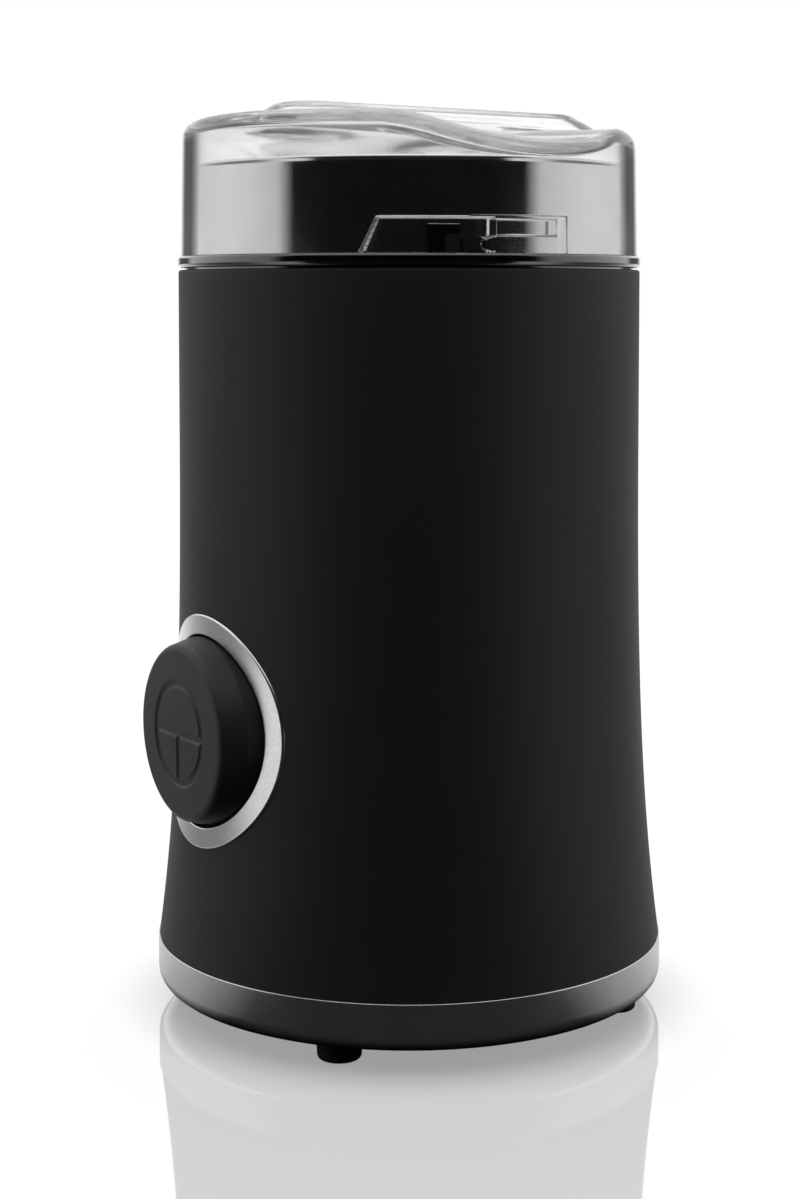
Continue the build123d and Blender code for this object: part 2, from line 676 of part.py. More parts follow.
def make_foot(turn):
    """Push-in rubber foot."""
    pad = rod(FOOT_RADIUS, 0, PLATE_LOW)
    pad = fillet(pad.edges().group_by(Axis.Z)[0], FOOT_EDGE_ROUND)
    barb = spun(
        (0, PLATE_LOW),
        (FOOT_STUD_RADIUS, PLATE_LOW),
        (FOOT_STUD_RADIUS, PLATE_TOP + RUNNING_GAP),
        (FOOT_BARB_RADIUS, PLATE_TOP + RUNNING_GAP),
        (FOOT_TIP_RADIUS, PLATE_TOP + FOOT_BARB_HEIGHT),
        (0, PLATE_TOP + FOOT_BARB_HEIGHT),
    )
    return turned(Pos(FOOT_CIRCLE, 0, 0) * (pad + barb), FOOT_BEARING + 360 / FOOT_COUNT * turn)


def make_top_collar():
    """Gloss band over the body, with a skirt inside it and two lugs for the lid."""
    band = BODY_TOP_RADIUS + COLLAR_PROUD
    foot = BODY_TOP_RADIUS - COLLAR_FOOT_INSET
    skirt = SHELL_TOP_INNER - RUNNING_GAP
    step = COLLAR_TOP - BOWL_SEAL_DEPTH - 2 * RUNNING_GAP
    ring = spun(
        (COLLAR_BORE, COLLAR_TOP),
        (band, COLLAR_TOP),
        (band, BODY_TOP + COLLAR_SHADOW_GAP),
        (foot, BODY_TOP + COLLAR_SHADOW_GAP),
        (foot, BODY_TOP),
        (skirt, BODY_TOP),
        (skirt, BODY_TOP - COLLAR_SKIRT_DEPTH),
        (COLLAR_THROAT, BODY_TOP - COLLAR_SKIRT_DEPTH),
        (COLLAR_THROAT, step),
        (COLLAR_BORE, step),
    )
    rims = ring.edges().filter_by(GeomType.CIRCLE).sort_by(SortBy.RADIUS)[-2:]
    ring = fillet(rims, COLLAR_EDGE_ROUND)
    outer = LOCK_RADIUS - ROD_GAP
    inner = outer - LUG_THICKNESS
    for turn in range(LOCK_COUNT):
        start = LUG_BEARING + 360 / LOCK_COUNT * turn
        end = start + LUG_SPAN
        top = COLLAR_TOP + LUG_TOP
        lug = sector(inner, outer, COLLAR_TOP - LUG_ROOT, top, start, end)
        lug += sector(inner, outer, COLLAR_TOP + LUG_NOSE_LOW, top, start, end + LUG_NOSE_SPAN)
        ring += lug
    half = ROD_WIDTH / 2 + ROD_GAP
    low = BODY_TOP - COLLAR_SKIRT_DEPTH - OVERCUT
    near, far = COLLAR_THROAT - OVERCUT, ROD_OUTER + ROD_GAP
    slot = block(near, far, -half, half, low, COLLAR_TOP + OVERCUT)
    return ring - turned(slot, INTERLOCK_BEARING)


def make_grinding_bowl():
    """Drawn steel cup with a rounded corner, a beaded rim and a clamped centre hole."""
    outer = rod(BOWL_RADIUS, BOWL_FLOOR, BOWL_RIM)
    outer = fillet(outer.edges().group_by(Axis.Z)[0], BOWL_CORNER)
    inner = rod(BOWL_RADIUS - BOWL_SHEET, BOWL_FLOOR + BOWL_SHEET, BOWL_RIM + OVERCUT)
    inner = fillet(inner.edges().group_by(Axis.Z)[0], BOWL_CORNER - BOWL_SHEET)
    bowl = outer - inner - rod(CARRIER_NECK_RADIUS + RUNNING_GAP, 0, BOWL_RIM)
    bead = Plane.XZ * Pos(BOWL_RADIUS - BOWL_SHEET / 2, BOWL_RIM) * Circle(BOWL_RIM_BEAD)
    return bowl + revolve(bead, Axis.Z)


def make_motor_carrier():
    """Moulded plate that hangs the motor, with a threaded neck that clamps the bowl."""
    plate = rod(SHELL_TOP_INNER - CARRIER_CLEARANCE, CARRIER_LOW, CARRIER_TOP)
    plate += rod(CARRIER_PAD_RADIUS, CARRIER_LOW, PAD_TOP)
    plate += rod(CARRIER_NECK_RADIUS, CARRIER_LOW, NECK_TOP)
    for x, y in CORNERS:
        plate += Pos(x, y, 0) * rod(BOLT_BOSS_RADIUS, CARRIER_TOP, CARRIER_TOP + BOLT_BOSS_RISE)
        plate -= Pos(x, y, 0) * rod(BOLT_RADIUS + PILOT_GAP, CARRIER_LOW, BOLT_HOLE_TOP)
    for bearing in CARRIER_SCREW_BEARINGS:
        hole = rod(SCREW_RADIUS + SCREW_CLEARANCE, CARRIER_LOW, CARRIER_TOP)
        plate -= turned(Pos(CARRIER_SCREW_REACH, 0, 0) * hole, bearing)
    half = INTERLOCK_WIDTH / 2 + PRESS_GAP
    low = CARRIER_LOW - INTERLOCK_TALL - INTERLOCK_PLUNGER_SHOWN - ROD_FOOT_THICKNESS
    for side in (-1, 1):
        y0, y1 = sorted((side * half, side * (half + CHEEK_THICKNESS)))
        cheek = block(INTERLOCK_INNER, INTERLOCK_OUTER, y0, y1, low, CARRIER_LOW)
        plate += turned(cheek, INTERLOCK_BEARING)
    plate -= turned(interlock_screw(SCREW_CLEARANCE), INTERLOCK_BEARING)
    half = ROD_WIDTH / 2 + ROD_GAP
    notch = block(ROD_INNER - ROD_GAP, BODY_TOP_RADIUS, -half, half, CARRIER_LOW, CARRIER_TOP)
    plate -= turned(notch, INTERLOCK_BEARING)
    return plate - rod(CARRIER_NECK_BORE, 0, NECK_TOP + OVERCUT)


def make_carrier_screws():
    """Screws from above into the body's bosses."""
    length = CARRIER_THICKNESS + SCREW_LENGTH - SCREW_TIP_GAP
    screw = Pos(CARRIER_SCREW_REACH, 0, CARRIER_TOP) * pan_screw(length)
    return grouped(turned(screw, bearing) for bearing in CARRIER_SCREW_BEARINGS)


def make_bowl_nut():
    """Ring nut with spanner notches."""
    nut = tube(BOWL_NUT_RADIUS, CARRIER_NECK_RADIUS + PRESS_GAP, NUT_LOW, NUT_LOW + BOWL_NUT_HEIGHT)
    nut = chamfer(nut.edges().group_by(Axis.Z)[-1].sort_by(SortBy.RADIUS)[-1], BOWL_NUT_CHAMFER)
    wide = BOWL_NUT_NOTCH
    edge = BOWL_NUT_RADIUS
    notch = block(edge - wide, edge + OVERCUT, -wide, wide, NUT_LOW + BOWL_NUT_WEB, NECK_TOP)
    for turn in range(BOWL_NUT_NOTCHES):
        nut -= turned(notch, 360 / BOWL_NUT_NOTCHES * turn)
    return nut


def make_stator_core():
    """Laminated frame with two pole shoes."""
    half_x, half_y = STATOR_HALF_X, STATOR_HALF_Y
    core = block(-half_x, half_x, -half_y, half_y, STATOR_LOW, STATOR_TOP)
    core = fillet(core.edges().filter_by(Axis.Z), STATOR_CORNER)
    wide, deep = half_x - STATOR_YOKE_X, half_y - STATOR_YOKE_Y
    core -= block(-wide, wide, -deep, deep, STATOR_LOW, STATOR_TOP)
    bore = ARMATURE_RADIUS + AIR_GAP
    shoe = tube(bore + POLE_SHOE_THICKNESS, bore, STATOR_LOW, STATOR_TOP)
    for side in (-1, 1):
        y0, y1 = sorted((side * (bore - POLE_SHOE_DROP), side * half_y))
        core += shoe & block(-half_x, half_x, y0, y1, STATOR_LOW, STATOR_TOP)
        y0, y1 = sorted((0, side * (half_y - STATOR_YOKE_Y / 2)))
        pole = block(-POLE_HALF_WIDTH, POLE_HALF_WIDTH, y0, y1, STATOR_LOW, STATOR_TOP)
        core += pole - rod(bore + POLE_SHOE_THICKNESS / 2, STATOR_LOW, STATOR_TOP)
    for x, y in CORNERS:
        core -= Pos(x, y, 0) * rod(BOLT_RADIUS + BOLT_GAP, STATOR_LOW, STATOR_TOP)
    return core


def make_field_coil(side):
    """Field winding round one pole."""
    inner = POLE_HALF_WIDTH + COIL_GAP
    outer = inner + COIL_BUILD
    shoe = ARMATURE_RADIUS + AIR_GAP + POLE_SHOE_THICKNESS
    near = sqrt(shoe**2 - inner**2) + COIL_GAP / 2
    far = STATOR_HALF_Y - STATOR_YOKE_Y - COIL_GAP / 2
    y0, y1 = sorted((side * near, side * far))
    low, high = STATOR_LOW - COIL_GAP, STATOR_TOP + COIL_GAP
    coil = block(-outer, outer, y0, y1, low - COIL_BUILD, high + COIL_BUILD)
    coil = fillet(coil.edges().filter_by(Axis.Y), COIL_ROUND)
    return coil - block(-inner, inner, y0 - OVERCUT, y1 + OVERCUT, low, high)


def make_bracket(low, cup):
    """Bearing plate with a cup round the bush; the cup rises from the plate."""
    half_x, half_y = STATOR_HALF_X, STATOR_HALF_Y
    plate = block(-half_x, half_x, -half_y, half_y, low, low + BRACKET_PLATE)
    plate = fillet(plate.edges().filter_by(Axis.Z), STATOR_CORNER)
    plate += rod(BUSH_RADIUS + BUSH_CUP_WALL, low, low + cup)
    plate -= rod(BUSH_RADIUS + PRESS_GAP, low - OVERCUT, low + cup + OVERCUT)
    for x, y in CORNERS:
        plate -= Pos(x, y, 0) * rod(BOLT_RADIUS + BOLT_GAP, low, low + BRACKET_PLATE)
    for side in (-1, 1):
        near, far = BRACKET_WINDOW_NEAR, BRACKET_WINDOW_FAR
        wide = BRACKET_WINDOW_HALF
        window = block(-wide, wide, near, far, low, low + BRACKET_PLATE)
        plate -= Rot(0, 0, 90 + 90 * side) * window
    return plate


def make_armature_core():
    """Laminated drum with winding slots."""
    core = rod(ARMATURE_RADIUS, STATOR_LOW, STATOR_TOP)
    slot = block(
        ARMATURE_RADIUS - ARMATURE_SLOT_DEPTH,
        ARMATURE_RADIUS + OVERCUT,
        -ARMATURE_SLOT_WIDTH / 2,
        ARMATURE_SLOT_WIDTH / 2,
        STATOR_LOW,
        STATOR_TOP,
    )
    for turn in range(ARMATURE_SLOTS):
        core -= turned(slot, 360 / ARMATURE_SLOTS * turn)
    return core - rod(SHAFT_RADIUS + PRESS_GAP, 0, STATOR_TOP + OVERCUT)


def make_armature_winding():
    """Wire in the slots with a rounded bundle at each end."""
    inner = SHAFT_RADIUS + WINDING_BORE_GAP
    low, high = STATOR_LOW - PRESS_GAP, STATOR_TOP + PRESS_GAP
    ends = []
    for z0, z1 in ((low - WINDING_OVERHANG, low), (high, high + WINDING_OVERHANG)):
        ring = tube(WINDING_RADIUS, inner, z0, z1)
        ends.append(fillet(ring.edges().filter_by(GeomType.CIRCLE), WINDING_ROUND))
    winding = ends[0] + ends[1]
    bar = block(
        ARMATURE_RADIUS - ARMATURE_SLOT_DEPTH + WINDING_SLOT_GAP,
        ARMATURE_RADIUS - WINDING_SLOT_INSET,
        WINDING_SLOT_GAP - ARMATURE_SLOT_WIDTH / 2,
        ARMATURE_SLOT_WIDTH / 2 - WINDING_SLOT_GAP,
        low - WINDING_OVERHANG / 2,
        high + WINDING_OVERHANG / 2,
    )
    for turn in range(ARMATURE_SLOTS):
        winding += turned(bar, 360 / ARMATURE_SLOTS * turn)
    return winding


def make_commutator():
    """Copper drum with a riser and cut segments."""
    top = COMMUTATOR_LOW + COMMUTATOR_LENGTH
    drum = rod(COMMUTATOR_RADIUS, COMMUTATOR_LOW, top)
    riser_top = top + COMMUTATOR_RISER
    drum += rod(COMMUTATOR_RADIUS + RISER_PROUD, top, riser_top)
    near = COMMUTATOR_RADIUS - SEGMENT_CUT_DEPTH
    far = COMMUTATOR_RADIUS + RISER_PROUD + OVERCUT
    half = SEGMENT_CUT_WIDTH / 2
    cut = block(near, far, -half, half, COMMUTATOR_LOW, riser_top)
    for turn in range(ARMATURE_SLOTS):
        drum -= turned(cut, 360 / ARMATURE_SLOTS * (turn + 0.5))
    return drum - rod(SHAFT_RADIUS + PRESS_GAP, 0, riser_top + OVERCUT)


def make_brush(side):
    """Carbon block with a curved end that rides on the commutator."""
    wide, tall = BRUSH_HALF_WIDTH, BRUSH_HALF_HEIGHT
    brush = block(0, BRUSH_BACK, -wide, wide, BRUSH_HEIGHT - tall, BRUSH_HEIGHT + tall)
    brush -= rod(COMMUTATOR_RADIUS + BRUSH_GAP, 0, STATOR_LOW)
    return turned(brush, 180 - side * 90)


def make_brush_holder(side):
    """Moulded channel on a foot that stands on the lower bracket."""
    wide = BRUSH_HALF_WIDTH + RUNNING_GAP
    tall = BRUSH_HALF_HEIGHT + RUNNING_GAP
    low, high = BRUSH_HEIGHT - tall - HOLDER_WALL, BRUSH_HEIGHT + tall + HOLDER_WALL
    holder = block(HOLDER_FRONT, HOLDER_BACK, -wide - HOLDER_WALL, wide + HOLDER_WALL, low, high)
    end = HOLDER_BACK - HOLDER_END_WALL
    holder -= block(0, end, -wide, wide, BRUSH_HEIGHT - tall, BRUSH_HEIGHT + tall)
    foot_top = LOWER_BRACKET_LOW + BRACKET_PLATE
    half = wide + HOLDER_WALL
    holder += block(HOLDER_BACK - HOLDER_FOOT, HOLDER_BACK, -half, half, foot_top, low)
    return turned(holder, 180 - side * 90)


def make_brush_spring(side):
    """Light spring between the brush and the end of its channel."""
    length = HOLDER_BACK - HOLDER_END_WALL - BRUSH_BACK
    radius = BRUSH_HALF_WIDTH - BRUSH_SPRING_INSET
    spring = coil_spring(radius, BRUSH_SPRING_WIRE, length, BRUSH_SPRING_TURNS)
    return turned(Pos(BRUSH_BACK, 0, BRUSH_HEIGHT) * Rot(0, 90, 0) * spring, 180 - side * 90)


def make_cooling_fan():
    """Radial fan with straight blades under a disc."""
    top = FAN_LOW + FAN_HEIGHT
    fan = rod(FAN_HUB_RADIUS, FAN_LOW, top) + rod(FAN_RADIUS, top - FAN_DISC, top)
    vane = block(
        FAN_HUB_RADIUS - OVERCUT,
        FAN_RADIUS - FAN_BLADE_INSET,
        -FAN_BLADE_THICKNESS / 2,
        FAN_BLADE_THICKNESS / 2,
        FAN_LOW + FAN_BLADE_LIFT,
        top - FAN_DISC / 2,
    )
    for turn in range(FAN_BLADES):
        fan += turned(vane, 360 / FAN_BLADES * turn)
    return fan - rod(SHAFT_RADIUS + PRESS_GAP, 0, top + OVERCUT)


def make_motor_shaft():
    """Ground shaft with a reduced threaded end for the blade."""
    shaft = rod(SHAFT_RADIUS, SHAFT_LOW, BLADE_LOW)
    shaft += rod(SHAFT_THREAD_RADIUS, BLADE_LOW, NUT_SEAT + SHAFT_THREAD_ABOVE)
    return chamfer(shaft.edges().filter_by(GeomType.CIRCLE).group_by(Axis.Z)[-1], SHAFT_CHAMFER)


def make_blade():
    """Two-winged cutter, each wing pitched the opposite way."""
    half = BLADE_WIDTH / 2
    blade = block(-BLADE_FLAT_HALF, BLADE_FLAT_HALF, -half, half, 0, BLADE_SHEET)
    root = BLADE_FLAT_HALF - BLADE_OVERLAP
    plan = make_face(
        Polyline(
            (root, -half),
            (BLADE_HALF_SPAN - BLADE_TIP_SWEEP, -half),
            (BLADE_HALF_SPAN, BLADE_TIP_POINT),
            (BLADE_HALF_SPAN - BLADE_TIP_CUT, half),
            (root, half),
            close=True,
        )
    )
    wing = extrude(plan, BLADE_SHEET)
    edge = wing.edges().filter_by(Axis.X).group_by(Axis.Z)[-1].sort_by(Axis.Y)[-1]
    wing = chamfer(edge, BLADE_BEVEL_DEPTH, BLADE_BEVEL_WIDTH)
    wing = Pos(0, 0, BLADE_SHEET / 2) * Rot(BLADE_PITCH, 0, 0) * Pos(0, 0, -BLADE_SHEET / 2) * wing
    blade = blade + wing + Rot(0, 0, 180) * wing
    bore = rod(SHAFT_THREAD_RADIUS + PRESS_GAP, -OVERCUT, BLADE_SHEET + OVERCUT)
    return Pos(0, 0, BLADE_LOW) * (blade - bore)


def make_blade_nut():
    """Domed cap nut over the blade."""
    nut = extrude(RegularPolygon(BLADE_NUT_RADIUS, 6), BLADE_NUT_HEX)
    dome = rod(BLADE_NUT_DOME_RADIUS, 0, BLADE_NUT_HEIGHT)
    dome = fillet(dome.edges().group_by(Axis.Z)[-1], BLADE_NUT_DOME_ROUND)
    well = SHAFT_THREAD_ABOVE + 2 * RUNNING_GAP
    nut = nut + dome - rod(SHAFT_THREAD_RADIUS + PRESS_GAP, 0, well)
    return Pos(0, 0, NUT_SEAT) * nut


def make_button_bezel():
    """Silver ring that follows the curve of the body."""
    skin = body_form(-BEZEL_PROUD) - body_form(BEZEL_SEAT - RUNNING_GAP)
    return skin & (FRONT * tube(BEZEL_RADIUS, BUTTON_BORE, 0, BODY_REACH))


def make_button_cap():
    """Tapered cap with a hollow back, a stem and an engraved push sign."""
    face = BUTTON_FACE_REACH
    shoulder = face - BUTTON_TAPER_LENGTH
    cap = spun(
        (0, BUTTON_SKIRT_END),
        (BUTTON_RADIUS, BUTTON_SKIRT_END),
        (BUTTON_RADIUS, shoulder),
        (BUTTON_FACE_RADIUS, face),
        (0, face + BUTTON_DOME),
    )
    edges = cap.edges().filter_by(GeomType.CIRCLE)
    cap = fillet(edges.sort_by(Axis.Z)[-1], BUTTON_EDGE_ROUND)
    hollow = spun(
        (0, BUTTON_SKIRT_END - OVERCUT),
        (BUTTON_RADIUS - BUTTON_WALL, BUTTON_SKIRT_END - OVERCUT),
        (BUTTON_RADIUS - BUTTON_WALL, shoulder),
        (BUTTON_FACE_RADIUS - BUTTON_WALL, face - BUTTON_WALL),
        (0, face - BUTTON_WALL),
    )
    cap -= hollow
    stem = rod(STEM_RADIUS, GUIDE_BACK - PRESS_GAP, face - BUTTON_WALL / 2)
    stem += rod(STEM_NECK_RADIUS, STEM_END, face - BUTTON_WALL)
    sign = tube(SIGN_RADIUS, SIGN_RADIUS - SIGN_LINE, face - SIGN_DEPTH, face + OVERCUT)
    half = SIGN_LINE / 2
    reach = SIGN_RADIUS - half
    sign += block(-reach, reach, -half, half, face - SIGN_DEPTH, face + OVERCUT)
    sign += block(-half, half, -reach, 0, face - SIGN_DEPTH, face + OVERCUT)
    return FRONT * (cap + stem - sign)


def make_stem_clip():
    """Spring washer that keeps the button in its guide."""
    high = GUIDE_BACK - RUNNING_GAP
    return FRONT * tube(CLIP_RADIUS, STEM_NECK_RADIUS + PRESS_GAP, high - CLIP_THICKNESS, high)


def make_button_guide():
    """Cup behind the button with ears to the body and cheeks round the switch."""
    cup = tube(GUIDE_RADIUS, BUTTON_BORE, GUIDE_BACK, BODY_REACH)
    plate = rod(GUIDE_RADIUS, GUIDE_BACK, GUIDE_BACK + GUIDE_PLATE)
    guide = cup + plate
    half = GUIDE_EAR_WIDTH / 2
    reach = GUIDE_EAR_REACH + half
    for side in (-1, 1):
        y0, y1 = sorted((side * (GUIDE_RADIUS - GUIDE_WALL / 2), side * reach))
        guide += block(-half, half, y0, y1, GUIDE_EAR_LOW, GUIDE_EAR_HIGH)
        guide -= Pos(0, side * GUIDE_EAR_REACH, 0) * rod(
            SCREW_RADIUS + SCREW_CLEARANCE, GUIDE_EAR_LOW, GUIDE_EAR_HIGH
        )
        inner = SWITCH_WIDTH / 2 + PRESS_GAP
        x0, x1 = sorted((side * inner, side * (inner + CHEEK_THICKNESS)))
        near, far = SWITCH_BACK + CHEEK_SHORT, GUIDE_BACK + GUIDE_PLATE / 2
        guide += block(x0, x1, -SWITCH_BELOW, SWITCH_ABOVE, near, far)
    guide -= rod(STEM_RADIUS + BUTTON_GAP, 0, BODY_REACH)
    room = CLIP_RADIUS + OVERCUT
    guide -= block(-room, room, -room, room, SWITCH_FRONT, GUIDE_BACK)
    for screw in switch_screws(SCREW_CLEARANCE):
        guide -= screw
    return (FRONT * guide) & body_form(SHELL_WALL + RUNNING_GAP)


def cross_screw(half, extra):
    """Screw along Z through two cheeks that are 2 * half apart outside, grown by a clearance."""
    pin = rod(CROSS_SCREW_RADIUS + extra, CROSS_SCREW_TIP - half - extra, half)
    return pin + rod(CROSS_SCREW_HEAD_RADIUS + extra, half, half + CROSS_SCREW_HEAD + extra)


def switch_screws(extra):
    """Two cross screws through cheeks and switch, in the button's frame."""
    half = SWITCH_WIDTH / 2 + PRESS_GAP + CHEEK_THICKNESS
    low = CROSS_SCREW_EDGE - SWITCH_BELOW
    places = (
        (low, SWITCH_BACK + CROSS_SCREW_EDGE),
        (low + CROSS_SCREW_STEP, SWITCH_FRONT - CROSS_SCREW_EDGE),
    )
    pin = Rot(0, 90, 0) * cross_screw(half, extra)
    return [Pos(0, rise, depth) * pin for rise, depth in places]


def make_main_switch_body():
    """Momentary switch block with a well for its plunger."""
    half = SWITCH_WIDTH / 2
    body = block(-half, half, -SWITCH_BELOW, SWITCH_ABOVE, SWITCH_BACK, SWITCH_FRONT)
    well = SWITCH_PLUNGER_BACK - BUTTON_TRAVEL - BUTTON_GAP
    body -= rod(SWITCH_PLUNGER_RADIUS + BUTTON_GAP, well, SWITCH_FRONT)
    for screw in switch_screws(SCREW_CLEARANCE):
        body -= screw
    return FRONT * body


def make_switch_terminals():
    """Two brass tabs on top of the switch."""
    thick, wide = TAB_THICKNESS / 2, TAB_WIDTH / 2
    low, high = SWITCH_ABOVE, SWITCH_ABOVE + TAB_HEIGHT
    tab = block(-thick, thick, low, high, TAB_DEPTH - wide, TAB_DEPTH + wide)
    return grouped(FRONT * Pos(side * TAB_SPACING / 2, 0, 0) * tab for side in (-1, 1))


def make_lead(side):
    """Insulated wire from a switch tab to a brush holder."""
    top = BUTTON_HEIGHT + SWITCH_ABOVE + LEAD_JOIN
    start = (TAB_SPACING + TAB_THICKNESS) / 2 + LEAD_RADIUS + RUNNING_GAP
    end = HOLDER_BACK - LEAD_END_INSET
    hold = BRUSH_HEIGHT + BRUSH_HALF_HEIGHT + HOLDER_WALL + LEAD_RADIUS + 2 * RUNNING_GAP
    path = FilletPolyline(
        (side * start, -TAB_DEPTH, top),
        (side * LEAD_OUT, -TAB_DEPTH, top),
        (side * LEAD_OUT, -TAB_DEPTH, hold),
        (side * end, -LEAD_TURN, hold),
        (side * end, LEAD_TAIL, hold),
        radius=LEAD_BEND,
    )
    section = Plane(origin=path @ 0, z_dir=path % 0) * Circle(LEAD_RADIUS)
    return sweep(section, path=path)


def make_button_spring():
    """Return spring round the stem."""
    low = GUIDE_BACK + GUIDE_PLATE
    length = BUTTON_FACE_REACH - BUTTON_WALL - low
    spring = coil_spring(BUTTON_SPRING_RADIUS, BUTTON_SPRING_WIRE, length, BUTTON_SPRING_TURNS)
    return FRONT * Pos(0, 0, low) * spring


def make_main_switch_plunger():
    """Pin that the button's stem pushes."""
    high = STEM_END - SWITCH_PLUNGER_GAP
    return FRONT * rod(SWITCH_PLUNGER_RADIUS, SWITCH_PLUNGER_BACK, high)


def make_guide_screws():
    """Two screws that hold the guide on the body's bosses."""
    length = GUIDE_EAR_HIGH - GUIDE_EAR_LOW + GUIDE_SCREW_DEPTH
    screw = Pos(0, 0, GUIDE_EAR_LOW) * Rot(180, 0, 0) * pan_screw(length)
    return grouped(FRONT * Pos(0, side * GUIDE_EAR_REACH, 0) * screw for side in (-1, 1))


def make_interlock_rod():
    """Flat push rod beside the bowl, with a foot over the switch."""
    half = ROD_WIDTH / 2
    top = COLLAR_TOP + ROD_TIP_RISE
    foot_high = CARRIER_LOW - ROD_GAP
    foot_low = foot_high - ROD_FOOT_THICKNESS
    strip = block(ROD_INNER, ROD_OUTER, -half, half, foot_low, top)
    strip = fillet(strip.edges().filter_by(Axis.X).group_by(Axis.Z)[-1], ROD_TIP_ROUND)
    curve = tube(ROD_OUTER, ROD_INNER - ROD_THICKNESS, foot_low, top)
    foot = block(ROD_FOOT_REACH, ROD_OUTER, -half, half, foot_low, foot_high) & rod(ROD_OUTER, 0, top)
    return turned((strip & curve) + foot, INTERLOCK_BEARING)


def interlock_top():
    """Height of the interlock switch's top face."""
    return CARRIER_LOW - ROD_GAP - ROD_FOOT_THICKNESS - INTERLOCK_PLUNGER_SHOWN


def interlock_screw(extra):
    """Cross screw through the interlock switch, made along +X."""
    half = INTERLOCK_WIDTH / 2 + PRESS_GAP + CHEEK_THICKNESS
    height = interlock_top() - INTERLOCK_TALL + CROSS_SCREW_EDGE
    return Pos(INTERLOCK_REACH, 0, height) * Rot(90, 0, 0) * cross_screw(half, extra)


def make_interlock_switch():
    """Small switch under the carrier with a well for its plunger."""
    half = INTERLOCK_WIDTH / 2
    top = interlock_top()
    body = block(INTERLOCK_INNER, INTERLOCK_OUTER, -half, half, top - INTERLOCK_TALL, top)
    well = top - INTERLOCK_PLUNGER_SEAT - INTERLOCK_TRAVEL - BUTTON_GAP
    reach = INTERLOCK_REACH + INTERLOCK_PLUNGER_OFFSET
    body -= Pos(reach, 0, 0) * rod(INTERLOCK_PLUNGER_RADIUS + BUTTON_GAP, well, top)
    return turned(body - interlock_screw(SCREW_CLEARANCE), INTERLOCK_BEARING)


def make_interlock_plunger():
    """Switch pin that follows the rod."""
    low = interlock_top() - INTERLOCK_PLUNGER_SEAT
    high = CARRIER_LOW - ROD_GAP - ROD_FOOT_THICKNESS - RUNNING_GAP
    pin = Pos(INTERLOCK_REACH + INTERLOCK_PLUNGER_OFFSET, 0, 0) * rod(INTERLOCK_PLUNGER_RADIUS, low, high)
    return turned(pin, INTERLOCK_BEARING)


